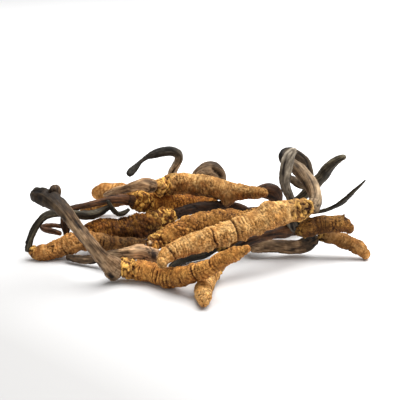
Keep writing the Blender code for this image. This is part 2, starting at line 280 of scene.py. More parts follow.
def add(
    tree: bpy.types.NodeTree,
    kind: str,
    settings: dict[str, Any] | None = None,
    sockets: dict[Any, Any] | None = None,
    output: int | str = 0,
) -> bpy.types.NodeSocket | None:
    """Adds a node.

    Args:
        tree: The node tree that gets it.
        kind: The node's type name.
        settings: Properties of the node itself. "stops" are those of a colour
            ramp: places from 0 to 1 with their sRGB hex colours.
        sockets: Values or links for its inputs, by socket name or number.
        output: Which of its outputs is wanted.

    Returns:
        That output, or nothing where the node has none.
    """
    node = tree.nodes.new(kind)
    settings = dict(settings or {})
    stops = settings.pop("stops", ())
    for key, value in settings.items():
        setattr(node, key, value)
    for _ in stops[2:]:
        node.color_ramp.elements.new(1.0)
    for k, (place, colour) in enumerate(stops):
        node.color_ramp.elements[k].position = place
        node.color_ramp.elements[k].color = linear(colour)
    for key, value in (sockets or {}).items():
        if isinstance(value, bpy.types.NodeSocket):
            tree.links.new(value, node.inputs[key])
        else:
            node.inputs[key].default_value = value
    return node.outputs[output] if node.outputs else None


def per_metre(width: float) -> float:
    """The scale of a noise whose blots are that wide, in mm."""
    return 1.0 / (width * MM)


@dataclass(frozen=True)
class DriedSkin:
    """What the two air-dried skins share: matt, grained, with baked marks.

    Every mark is a number baked on the mesh where the relief makes it, so that
    the colour follows the shape. Several marks are painted light and shade:
    painted shade in hollows and on the underside, painted highlight on raised
    parts. "tone" makes the colour darker or lighter, partly as the piece's own
    tone and partly as painted light and shade.

    Fields:
        rough: The surface's middle roughness; dried skin has no gloss to speak of.
        specular: How strongly it reflects, where 0.5 is a smooth surface.
        marks: The baked marks that its colour reads.
    """

    rough: float
    specular: float
    marks: tuple[str, ...]

    # How much smoother and rougher than its middle the surface gets in places,
    # and the strength of the finest grain's bump.
    SMOOTHER, ROUGHER, BUMP = 0.1, 0.2, 0.5
    # Depth of the finest grain, in mm.
    GRAIN_DEPTH = 0.12
    # Between these values of a noise a mark goes from none to its most.
    BREAK_LOW, BREAK_HIGH = 0.3, 0.6
    # Typical of dried hide and of dried woody fungus.
    IOR = 1.5

    def make(self, name: str) -> bpy.types.Material:
        """The finish as a material of that name."""
        material = bpy.data.materials.new(name)
        material.use_nodes = True
        tree = material.node_tree
        shader = tree.nodes["Principled BSDF"]
        baked = {
            key: add(tree, "ShaderNodeAttribute", {"attribute_name": key}, output="Fac")
            for key in (*self.marks, "tone")
        }
        colour, speckle, grain = self.painted(tree, baked)
        colour = add(
            tree,
            "ShaderNodeVectorMath",
            {"operation": "SCALE"},
            {0: colour, "Scale": baked["tone"]},
        )
        rough = add(
            tree,
            "ShaderNodeMapRange",
            sockets={
                "Value": speckle,
                "To Min": self.rough - self.SMOOTHER,
                "To Max": self.rough + self.ROUGHER,
            },
        )
        bump = add(
            tree,
            "ShaderNodeBump",
            sockets={
                "Strength": self.BUMP,
                "Distance": self.GRAIN_DEPTH * MM,
                "Height": grain,
            },
        )
        links = {"Base Color": colour, "Roughness": rough, "Normal": bump}
        for key, socket in links.items():
            tree.links.new(socket, shader.inputs[key])
        shader.inputs["IOR"].default_value = self.IOR
        shader.inputs["Specular IOR Level"].default_value = self.specular
        return material

    def painted(
        self, tree: bpy.types.NodeTree, baked: dict[str, Any]
    ) -> tuple[Any, Any, Any]:
        """Paints the finish.

        Args:
            tree: The material's node tree.
            baked: The marks' sockets by name.

        Returns:
            The colour, the noise that varies the roughness, and the bump's height.
        """
        raise NotImplementedError

    @staticmethod
    def layered(tree: bpy.types.NodeTree, base: Any, layers: tuple) -> Any:
        """Lays colours over a base.

        Args:
            tree: The node tree.
            base: The colour at the bottom.
            layers: Shares and the colours, sockets or sRGB hex, from below up.

        Returns:
            The colour socket.
        """
        for share, over in layers:
            over = linear(over) if isinstance(over, str) else over
            inputs = {"Fac": share, "Color1": base, "Color2": over}
            base = add(tree, "ShaderNodeMixRGB", sockets=inputs)
        return base

    def broken(
        self, tree: bpy.types.NodeTree, mark: Any, noise: Any, most: float
    ) -> Any:
        """Breaks up a mark by noise.

        Args:
            tree: The node tree.
            mark: The mark's socket.
            noise: The noise's socket.
            most: The most that is left of the mark.

        Returns:
            The broken mark's socket.
        """
        limits = {"From Min": self.BREAK_LOW, "From Max": self.BREAK_HIGH}
        cut = add(
            tree,
            "ShaderNodeMapRange",
            sockets={"Value": noise, "To Max": most, **limits},
        )
        return add(tree, "ShaderNodeMath", {"operation": "MULTIPLY"}, {0: mark, 1: cut})


@dataclass(frozen=True)
class DriedLarvaSkin(DriedSkin):
    """Air-dried larva hide, full of fungus: matt, ringed and crumbly.

    Drying draws the hide into rings with furrows, which get painted shade; the
    ridges between them are paler, partly rubbed and partly painted highlight; the
    underside gets painted shade; and sulphur-yellow crumbs show round the head.
    """

    # The ridge colour is partly wear and partly painted highlight.
    ridge: str = "#e2b878"
    hide: str = "#ba8649"
    stain: str = "#8d5e2c"
    # The furrow colour is painted shade in furrows, pits and crevices.
    furrow: str = "#341706"
    crumb: str = "#dcaa58"
    # The belly colour is painted shade on the underside.
    belly: str = "#7a4417"
    rough: float = 0.72
    specular: float = 0.12
    marks: tuple[str, ...] = ("furrow", "ridge", "crumb", "belly", "pale")

    # Bare tissue where the hide has come off.
    BARE = "#e9dcc4"
    SMOOTHER, ROUGHER, BUMP = 0.12, 0.16, 0.5
    # Widths in mm of the stains, of the blotches on them, and of the finest
    # grain, which is drawn coarser than the real one so that it shows.
    STAIN_WIDTH = 2.5
    BLOTCH_WIDTH = 0.5
    GRAIN_WIDTH = 0.2857
    # How much of the small blotches shows over the wide stains.
    BLOTCHED = 0.45
    # How far the pale ridges (wear and painted highlight) and the belly's painted shade cover the
    # hide.
    COVER = 0.9

    def painted(
        self, tree: bpy.types.NodeTree, baked: dict[str, Any]
    ) -> tuple[Any, Any, Any]:
        """Stained hide, ridges paled by wear and painted highlight, yellow crumbs, and painted
        shade on the belly and in the furrows.

        Args:
            tree: The material's node tree.
            baked: The marks' sockets by name.

        Returns:
            The colour, the noise that varies the roughness, and the bump's height.
        """
        coords = add(tree, "ShaderNodeTexCoord", output="Object")
        wide, small, grain = (
            add(
                tree,
                "ShaderNodeTexNoise",
                sockets={
                    "Vector": coords,
                    "Scale": per_metre(width),
                    "Detail": detail,
                    "Roughness": roughness,
                },
            )
            for width, detail, roughness in (
                (self.STAIN_WIDTH, 3.0, 0.5),
                (self.BLOTCH_WIDTH, 4.0, 0.65),
                (self.GRAIN_WIDTH, 3.0, 0.5),
            )
        )
        stains = ((0.36, self.stain), (0.50, self.hide), (0.66, self.hide))
        blots = ((0.34, self.stain), (0.52, self.hide), (0.68, self.ridge))
        hide = add(tree, "ShaderNodeValToRGB", {"stops": stains}, {"Fac": wide})
        speck = add(tree, "ShaderNodeValToRGB", {"stops": blots}, {"Fac": small})
        layers = (
            (self.BLOTCHED, speck),
            # Ridges paled by wear and painted highlight; painted shade on the belly and in the
            # furrows.
            (self.broken(tree, baked["ridge"], small, self.COVER), self.ridge),
            (self.broken(tree, baked["belly"], wide, self.COVER), self.belly),
            (baked["crumb"], self.crumb),
            (baked["furrow"], self.furrow),
            (baked["pale"], self.BARE),
        )
        return self.layered(tree, hide, layers), small, grain


@dataclass(frozen=True)
class DriedStalkRind(DriedSkin):
    """Air-dried fungus stalk: woody, shrunk into lengthwise wrinkles.

    The wrinkles' crests are paler, partly worn and partly painted highlight, and
    the creases between get near-black painted shade.
    """

    # The crest colour is partly wear and partly painted highlight.
    crest: str = "#a8957a"
    rind: str = "#7d6a54"
    stain: str = "#54412f"
    # The crease colour is painted shade.
    crease: str = "#1f150e"
    rough: float = 0.6
    specular: float = 0.2
    marks: tuple[str, ...] = ("furrow", "ridge", "pale")

    # Where the rind is rubbed through to the flesh.
    RUBBED = "#c9a27c"
    SMOOTHER, ROUGHER, BUMP = 0.1, 0.2, 0.6
    # Fibres a third of a millimetre wide and four millimetres long.
    FIBRE_WIDTH = 1.0 / 3.0
    FIBRE_LENGTH = 4.0
    # Width of the stains, in mm.
    STAIN_WIDTH = 2.857
    # How much of the stains shows over the fibres, and of the crests over both.
    STAINED = 0.4
    COVER = 0.9

    def painted(
        self, tree: bpy.types.NodeTree, baked: dict[str, Any]
    ) -> tuple[Any, Any, Any]:
        """Streaked rind, crests paled by wear and painted highlight, and near-black painted shade
        in the creases.

        Args:
            tree: The material's node tree.
            baked: The marks' sockets by name.

        Returns:
            The colour, the noise that varies the roughness, and the bump's height.
        """
        coords = add(tree, "ShaderNodeTexCoord", output="Object")
        skin = add(
            tree, "ShaderNodeAttribute", {"attribute_name": "unrolled"}, output="Vector"
        )
        # The unrolled skin is in mm, so this makes one fibre one unit.
        shrink = (1.0 / self.FIBRE_LENGTH, 1.0 / self.FIBRE_WIDTH, 1.0 / self.FIBRE_WIDTH)
        drawn = add(
            tree, "ShaderNodeVectorMath", {"operation": "MULTIPLY"}, {0: skin, 1: shrink}
        )
        fibre = add(
            tree,
            "ShaderNodeTexNoise",
            sockets={"Vector": drawn, "Scale": 1.0, "Detail": 4.0, "Roughness": 0.6},
        )
        wide = add(
            tree,
            "ShaderNodeTexNoise",
            sockets={
                "Vector": coords,
                "Scale": per_metre(self.STAIN_WIDTH),
                "Detail": 3.0,
            },
        )
        streaks = ((0.36, self.stain), (0.5, self.rind), (0.66, self.crest))
        blots = ((0.38, self.stain), (0.62, self.rind))
        rind = add(tree, "ShaderNodeValToRGB", {"stops": streaks}, {"Fac": fibre})
        patch = add(tree, "ShaderNodeValToRGB", {"stops": blots}, {"Fac": wide})
        layers = (
            (self.STAINED, patch),
            # Crests paled by wear and painted highlight; painted shade in the creases.
            (self.broken(tree, baked["ridge"], fibre, self.COVER), self.crest),
            (baked["furrow"], self.crease),
            (baked["pale"], self.RUBBED),
        )
        return self.layered(tree, rind, layers), fibre, fibre


class LarvaFinish(Enum):
    """How a larva's hide dried."""

    # Each belly colour is painted shade on the underside, and each ridge colour partly painted
    # highlight.
    GOLDEN = DriedLarvaSkin()
    TAN = DriedLarvaSkin(ridge="#c9954f", hide="#a06c33", stain="#6f431b", belly="#5f3210")
    ORANGE = DriedLarvaSkin(ridge="#d6a264", hide="#b07a3f", stain="#875223", belly="#7c4519")
    BROWN = DriedLarvaSkin(
        ridge="#a5722f", hide="#78491c", stain="#4b2a0e", belly="#40210a", crumb="#c09348"
    )


class StalkFinish(Enum):
    """How a stalk's rind dried."""

    # Each crest colour is partly painted highlight, and the black rind's crease colour is painted
    # shade.
    ASH = DriedStalkRind(crest="#b3a794", rind="#857968", stain="#574c40")
    PALE = DriedStalkRind(crest="#c4aa88", rind="#967b5c", stain="#67503a")
    GREY = DriedStalkRind(crest="#a98c6b", rind="#765b40", stain="#4a3523")
    BROWN = DriedStalkRind(crest="#83593a", rind="#583821", stain="#392213")
    BLACK = DriedStalkRind(crest="#595140", rind="#302a1f", stain="#1e1810", crease="#0d0906")


# ---------------------------------------------------------------- shapes


@dataclass(frozen=True)
class Lump:
    """A knob or hollow at a place on a piece.

    Fields:
        place: Its middle in mm, before the centring shift.
        reach: How far it spreads, in mm.
        height: How far it stands out, in mm; below 0 it is a hollow.
        furrow: How much it darkens the skin with painted shade, from 0 to 1.
        pale: How much it whitens the skin, from 0 to 1.
    """

    place: tuple[float, float, float]
    reach: float
    height: float
    furrow: float = 0.0
    pale: float = 0.0


def circle(count: int) -> tuple[np.ndarray, np.ndarray]:
    """Cosine and sine of even steps round a circle, each as one row."""
    angle = np.linspace(0.0, 2 * math.pi, count, endpoint=False)
    return np.cos(angle)[None, :], np.sin(angle)[None, :]


def lengthwise(values: np.ndarray) -> np.ndarray:
    """Points on a straight line, where noise changes along the piece only."""
    return np.stack((values, 0 * values, 0 * values), -1)


def bell(away: np.ndarray, width: float) -> np.ndarray:
    """1 at the middle of a soft bump or groove, falling to 0 past its width."""
    return np.exp(-((away / width) ** 2))


@dataclass
class Piece:
    """A closed skin round a route, as a mesh object.

    Fields:
        name: The CAD node that it stands for.
        stations: The route's stations.
        seed: Seed of everything random on it.
        lumps: Single knobs and hollows.
        tones: How light it is along its length, partly its own tone and partly
            painted light and shade where it lies lit or in shade: rows of the share of
            the length and the brightness there, where 1 leaves the finish as it is.
        finish: How it dried.
    """

    name: str
    stations: tuple[tuple[float, ...], ...]
    seed: int
    lumps: tuple[Lump, ...] = ()
    tones: tuple[tuple[float, float], ...] = ((0.0, 1.0),)
    finish: LarvaFinish | StalkFinish | None = None

    # What it is made of and how that came to be, for the material's name.
    MATERIAL = "air_dried"
    # Widths in mm and strengths of the light and dark blotches.
    BLOTCHES = ((1.7, 0.24), (0.6, 0.34))

    def tone(self, run: np.ndarray, skin: np.ndarray) -> np.ndarray:
        """How light the skin is at each point, painted light and shade included.

        Args:
            run: Distance along the piece, in mm.
            skin: The straightened skin's points, in mm.

        Returns:
            A factor on the finish's colours.
        """
        shares, levels = zip(*self.tones)
        blotched = 1.0
        for k, (width, strength) in enumerate(self.BLOTCHES):
            blotched = blotched + strength * cloudy(skin, width, self.seed + 50 + k)
        return np.interp(run / run.max(), shares, levels) * blotched

    def shaped(self) -> tuple[np.ndarray, dict[str, np.ndarray]]:
        """Ring by ring surface points in mm, and the marks at each."""
        raise NotImplementedError

    def finish_name(self) -> str:
        """What the piece's material is, how it was made, its tone and its piece."""
        return f"{self.MATERIAL}_{self.finish.name.lower()}_{self.name}"

    def lumped(
        self,
        points: np.ndarray,
        outward: np.ndarray,
        marks: dict[str, np.ndarray],
    ) -> np.ndarray:
        """Raises the single knobs and hollows.

        Args:
            points: Surface points in mm.
            outward: The outward direction at each.
            marks: The marks to darken or whiten.

        Returns:
            The points moved.
        """
        for lump in self.lumps:
            away = np.linalg.norm(points - (np.array(lump.place) + CENTRE), axis=-1)
            share = bell(away, lump.reach)
            points = points + outward * (share * lump.height)[..., None]
            marks["furrow"] = np.maximum(marks["furrow"], share * lump.furrow)
            marks["pale"] = np.maximum(marks["pale"], share * lump.pale)
        return points

    def build(self) -> bpy.types.Object:
        """Makes the mesh object, with the marks baked on its points.

        Returns:
            The object, in place of its CAD node.
        """
        points, marks = self.shaped()
        rings, around = points.shape[:2]
        points[..., 2] = np.maximum(points[..., 2], TABLE_CLEARANCE)
        poles = np.stack((points[0].mean(0), points[-1].mean(0)))
        vertices = np.vstack((points.reshape(-1, 3), poles)) * MM
        mesh = bpy.data.meshes.new(self.name + "_skin")
        mesh.from_pydata(vertices.tolist(), [], self.faces(rings, around))
        for key, value in marks.items():
            flat = value.reshape(rings * around, -1)
            flat = np.vstack((flat, flat[:1], flat[-1:])).astype(np.float32)
            single = flat.shape[1] == 1
            baked = mesh.attributes.new(key, "FLOAT" if single else "FLOAT_VECTOR", "POINT")
            baked.data.foreach_set("value" if single else "vector", flat.ravel())
        mesh.shade_smooth()
        piece = bpy.data.objects.new(self.name + "_skin", mesh)
        bpy.context.scene.collection.objects.link(piece)
        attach(piece, "root")
        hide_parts(self.name)
        return piece

    @staticmethod
    def faces(rings: int, around: int) -> list[list[int]]:
        """Faces of a closed tube whose last two points are its poles.

        Args:
            rings: How many rings of points there are.
            around: How many points a ring has.

        Returns:
            Each face's points: four-sided walls and three-sided ends.
        """
        ring, side = np.meshgrid(np.arange(rings - 1), np.arange(around), indexing="ij")
        here, there = ring * around, (side + 1) % around
        walls = (here + side, here + there, here + around + there, here + around + side)
        turn = np.arange(around)
        after = (turn + 1) % around
        back = (np.full(around, rings * around), after, turn)
        last = (rings - 1) * around
        front = (np.full(around, rings * around + 1), last + turn, last + after)
        walls = np.stack(walls, -1).reshape(-1, 4).tolist()
        return walls + np.stack(back, -1).tolist() + np.stack(front, -1).tolist()

    def dress(self, piece: bpy.types.Object) -> None:
        """Gives the mesh object its finish."""
        piece.data.materials.append(self.finish.value.make(self.finish_name()))


@dataclass
class Larva(Piece):
    """A dried larva, from its tail to its head, where the stalk grows.

    Fields:
        finish: How the hide dried.
        ring: Distance between two rings of the hide, in mm.
        depth: Depth of the furrows between rings, in mm.
        crumble: Height of the crumbs all over, in mm.
        head: Length of the crumbly part at the head, in mm.
        head_crumble: Height of the crumbs there, in mm.
        belly: Which way the belly faces; that side gets painted shade.
        legs: How far its legs stand out; at 1 the longest by 0.75 mm.
        cracks: Places of deep cracks, in mm from the tail.
        stain: How strongly the belly is darkened with painted shade; at 0.5 its middle is
            covered.
        marked: How dark the painted shade in the furrows between rings is, from 0 to 1.
        lumpy: How strongly the body swells and shrinks; 1 is a smooth larva.
        grain: Width of the crumbs all over, in mm.
    """

    finish: LarvaFinish = LarvaFinish.TAN
    ring: float = 1.15
    depth: float = 0.2
    crumble: float = 0.12
    head: float = 5.0
    head_crumble: float = 0.45
    belly: tuple[float, float, float] = (0.0, -0.3, -1.0)
    legs: float = 0.7
    cracks: tuple[float, ...] = ()
    stain: float = 0.35
    marked: float = 0.6
    lumpy: float = 1.0
    grain: float = 0.6

    MATERIAL = "air_dried_larva_hide"
    # Points round the body, and the distance between two rings of them, in mm.
    AROUND = 84
    PITCH = 0.19
    # Radii in mm between which the relief fades out towards an end.
    FADE = (0.2, 1.4)
    # Length, bulge and joint depth of a body segment in mm, and the width of the
    # joint as a share of the segment.
    SEGMENT = 4.3
    BULGE = 0.10
    JOINT_DEPTH = 0.16
    JOINT_WIDTH = 0.035
    # Widths of the furrows between rings and of the finer ones between those, as
    # shares of a ring, and the finer ones' share of the depth.
    FURROW_WIDTH = 0.18
    FINE_WIDTH = 0.2
    FINE_DEPTH = 0.35
    # Width of a crumb at the head, in mm.
    HEAD_CRUMB = 1.1
    # Height of the crumbs that makes their crevices fully dark, in mm.
    FULL_CRUMBLE = 0.3
    # Depth and width of a deep crack, in mm.
    CRACK_DEPTH = 0.5
    CRACK_WIDTH = 0.24
    # Depth of pits in mm, and how much deeper they are at the head.
    PIT_DEPTH, HEAD_PIT = 0.12, 0.38
    # Legs: share of the length, reach and height in mm. Four pairs of stubby ones
    # stand in the middle and three of small ones behind the head.
    LEGS = (
        *((share, 1.15, 0.75) for share in (0.33, 0.43, 0.53, 0.63)),
        *((share, 0.55, 0.4) for share in (0.78, 0.84, 0.9)),
    )
    # How far a leg stands from the belly's middle, as an angle.
    LEG_TURN = 0.55

    def shaped(self) -> tuple[np.ndarray, dict[str, np.ndarray]]:
        """Ring by ring surface points in mm, and the marks at each."""
        route = Route(self.stations, self.PITCH)
        down, side = route.facing(self.belly)
        cos, sin = circle(self.AROUND)
        outward = down[:, None] * cos[..., None] + side[:, None] * sin[..., None]
        radius = route.radius[:, None]
        run = np.repeat(route.run[:, None], self.AROUND, axis=1)
        # Straightened skin coordinates, so that patterns follow the body.
        skin = np.stack((run, radius * cos, radius * sin), -1)

        bulges, joint = self.segments(run, skin)
        valley, fine = self.rings(run, skin)
        head = self.crumbly_part(run, skin)
        crumbs_up, small, crevice = self.crumbs_all_over(skin, head)
        head_up, rounded, tone, between = self.head_crumbs(skin, head)
        pits = self.pits(skin, head)
        split = self.deep_cracks(run, skin)
        grain = (0.045 + 0.06 * head) * cloudy(skin, 0.55, self.seed + 15)

        relief = bulges - self.depth * (valley + self.FINE_DEPTH * fine)
        relief = relief + crumbs_up + head_up + grain
        relief = relief - (self.PIT_DEPTH + self.HEAD_PIT * head) * pits
        relief = relief - self.CRACK_DEPTH * split
        swollen = 0.07 * cloudy(skin, 4.0, self.seed)
        swollen = swollen + 0.06 * self.lumpy * cloudy(skin, 1.9, self.seed + 1)
        taper = eased(route.radius, *self.FADE)[:, None]
        height = radius * (1.0 + swollen) + relief * taper
        points = route.places[:, None] + outward * height[..., None]

        # The furrow mark is painted shade in the furrows, joints, cracks and pits, and in the
        # crevices between crumbs.
        broken = 1.3 * eased(cloudy(skin, 0.9, self.seed + 61), -0.7, 0.25)
        dark = self.marked * (valley * broken + self.FINE_DEPTH * fine)
        dark = dark + 0.45 * joint + split + pits * (0.55 + 0.45 * head)
        dark = dark + 0.95 * (crevice + head * eased(0.2 - between, 0.0, 0.2))
        # Ridges are paler, partly wear and partly painted highlight; the side that faces the
        # belly's way gets painted shade.
        rubbed = eased(cloudy(skin, 1.7, self.seed + 18), -0.4, 0.6)
        stained = eased(cos + 0.35 * cloudy(skin, 2.5, self.seed + 19), 0.0, 0.9)
        marks = {
            "furrow": np.clip(dark, 0.0, 1.0),
            "ridge": np.clip(1.0 - 1.6 * valley - fine, 0.0, 1.0) * rubbed,
            "crumb": 0.85 * head * eased(tone, 0.1, 0.5) * eased(rounded, 0.2, 0.6),
            "belly": np.clip(stained * self.stain / 0.5, 0.0, 1.0),
            "pale": np.zeros_like(run),
            # The tone holds painted light and shade along the piece and a painted highlight on
            # the crumbs' tops, over the hide's own blotches.
            "tone": self.tone(run, skin) * small * (1.0 + head * (0.5 * tone - 0.35)),
        }
        if self.legs:
            points = self.walking(points, route, down, side, outward, marks)
        return self.lumped(points, outward, marks), marks

    def segments(
        self, run: np.ndarray, skin: np.ndarray
    ) -> tuple[np.ndarray, np.ndarray]:
        """Gentle bulges, one to a body segment, with a joint line between.

        Args:
            run: Distance along the body, in mm.
            skin: The straightened skin's points, in mm.

        Returns:
            The relief in mm, and the joint lines from 0 to 1.
        """
        phase = run / self.SEGMENT + 0.06 * cloudy(skin, 2.0, self.seed + 2)
        joint = bell(np.abs(phase - np.round(phase)) - 0.5, self.JOINT_WIDTH)
        joint = joint * eased(cloudy(skin, 2.6, self.seed + 3), -0.3, 0.5)
        return self.BULGE * np.cos(2 * math.pi * phase) - self.JOINT_DEPTH * joint, joint

    def rings(self, run: np.ndarray, skin: np.ndarray) -> tuple[np.ndarray, np.ndarray]:
        """Furrows that wander and fade between the rings of the hide.

        Args:
            run: Distance along the body, in mm.
            skin: The straightened skin's points, in mm.

        Returns:
            The furrows and the finer ones between them, from 0 to 1.
        """
        seed = self.seed
        wander = cloudy(skin, 3.2, seed + 4) * 0.42 + cloudy(skin, 1.3, seed + 5) * 0.2
        spread = 1.0 + 0.22 * cloudy(lengthwise(run), 5.0, seed + 6)
        phase = run / (self.ring * spread) + wander
        keen = 0.35 + 0.65 * hashed(lengthwise(np.round(phase)), seed + 7)
        keen = keen * eased(cloudy(skin, 2.2, seed + 8), -0.55, 0.35)
        valley = bell(phase - np.round(phase), self.FURROW_WIDTH) * keen
        half = phase * 2.0 + 0.5
        fine = bell(half - np.round(half), self.FINE_WIDTH) * (0.6 - 0.6 * keen)
        return valley, fine

    def crumbly_part(self, run: np.ndarray, skin: np.ndarray) -> np.ndarray:
        """Share of the head's crumbly surface, 1 at the head, with an uneven edge."""
        edge = self.head * (1.0 + 0.35 * cloudy(skin, 1.6, self.seed + 13))
        return 1.0 - eased(run[-1] - run, edge * 0.55, edge)

    def crumbs_all_over(
        self, skin: np.ndarray, head: np.ndarray
    ) -> tuple[np.ndarray, np.ndarray, np.ndarray]:
        """Small crumbs on the body behind the head.

        Args:
            skin: The straightened skin's points, in mm.
            head: Share of the head's surface.

        Returns:
            The relief in mm, a tone that lightens the crumbs' tops as a painted
            highlight, and the painted shade in the crevices between them from 0 to 1.
        """
        bits, gap, _ = crumbs(skin * (1.0, 0.8, 0.8), self.grain, self.seed + 9)
        small = np.clip(1.0 - bits * 1.25, 0.0, 1.0)
        rough = self.crumble * (0.55 + 0.45 * cloudy(skin, 3.0, self.seed + 14))
        share = rough / self.FULL_CRUMBLE
        crevice = (1.0 - head) * eased(0.14 - gap, 0.0, 0.14) * share
        return rough * (1.0 - head) * (small - 0.35), 0.84 + 0.4 * small * share, crevice

    def head_crumbs(
        self, skin: np.ndarray, head: np.ndarray
    ) -> tuple[np.ndarray, np.ndarray, np.ndarray, np.ndarray]:
        """Short yellow ridges, a millimetre long, round the head.

        Args:
            skin: The straightened skin's points, in mm.
            head: Share of the head's surface.

        Returns:
            The relief in mm, how far a point is up its crumb, each crumb's random
            tone, and the distance into a crumb from its edge.
        """
        bent = 0.45 * cloudy(skin, 0.8, self.seed + 62)[..., None] * (1.0, 1.0, -1.0)
        bits, between, tone = crumbs(
            (skin + bent) * (1.2, 0.6, 0.6), self.HEAD_CRUMB, self.seed + 60
        )
        rounded = np.clip(1.15 - bits * 1.2, 0.0, 1.0)
        return self.head_crumble * head * (rounded - 0.5), rounded, tone, between

    def pits(self, skin: np.ndarray, head: np.ndarray) -> np.ndarray:
        """Small pits in patches, from 0 to 1, more of them at the head."""
        hollow = eased(cloudy(skin, 0.8, self.seed + 16), 0.18, 0.42)
        patches = eased(cloudy(skin, 3.0, self.seed + 17), -0.3, 0.4)
        return hollow * (0.45 + 0.55 * head) * patches

    def deep_cracks(self, run: np.ndarray, skin: np.ndarray) -> np.ndarray:
        """The deep cracks, from 0 to 1, each round part of the body."""
        split = np.zeros_like(run)
        for k, place in enumerate(self.cracks):
            shift = cloudy(skin, 2.0, self.seed + 20 + k) * 0.5
            part = eased(cloudy(skin, 3.5, self.seed + 30 + k), -0.55, 0.0)
            crack = part * bell(run - place - shift, self.CRACK_WIDTH)
            split = np.maximum(split, crack)
        return split

    def walking(
        self,
        points: np.ndarray,
        route: Route,
        down: np.ndarray,
        side: np.ndarray,
        outward: np.ndarray,
        marks: dict[str, np.ndarray],
    ) -> np.ndarray:
        """Adds the pairs of legs.

        Args:
            points: Surface points in mm.
            route: The middle line.
            down: Direction of the belly at each ring.
            side: Direction across it at each ring.
            outward: The outward direction at each point.
            marks: The marks, with painted shade added round each leg.

        Returns:
            The points moved.
        """
        for (share, reach, height), turn in product(
            self.LEGS, (-self.LEG_TURN, self.LEG_TURN)
        ):
            ring = int(np.argmin(np.abs(route.run - route.run[-1] * share)))
            leaning = down[ring] * math.cos(turn) + side[ring] * math.sin(turn)
            foot = route.places[ring] + leaning * (route.radius[ring] + 0.2)
            away = np.linalg.norm(points - foot, axis=-1)
            raised = bell(away, reach) * height * self.legs
            points = points + outward * raised[..., None]
            # Painted shade round the foot of each leg.
            rim = bell(away - reach * 1.25, 0.3)
            marks["furrow"] = np.maximum(marks["furrow"], 0.55 * rim)
        return points


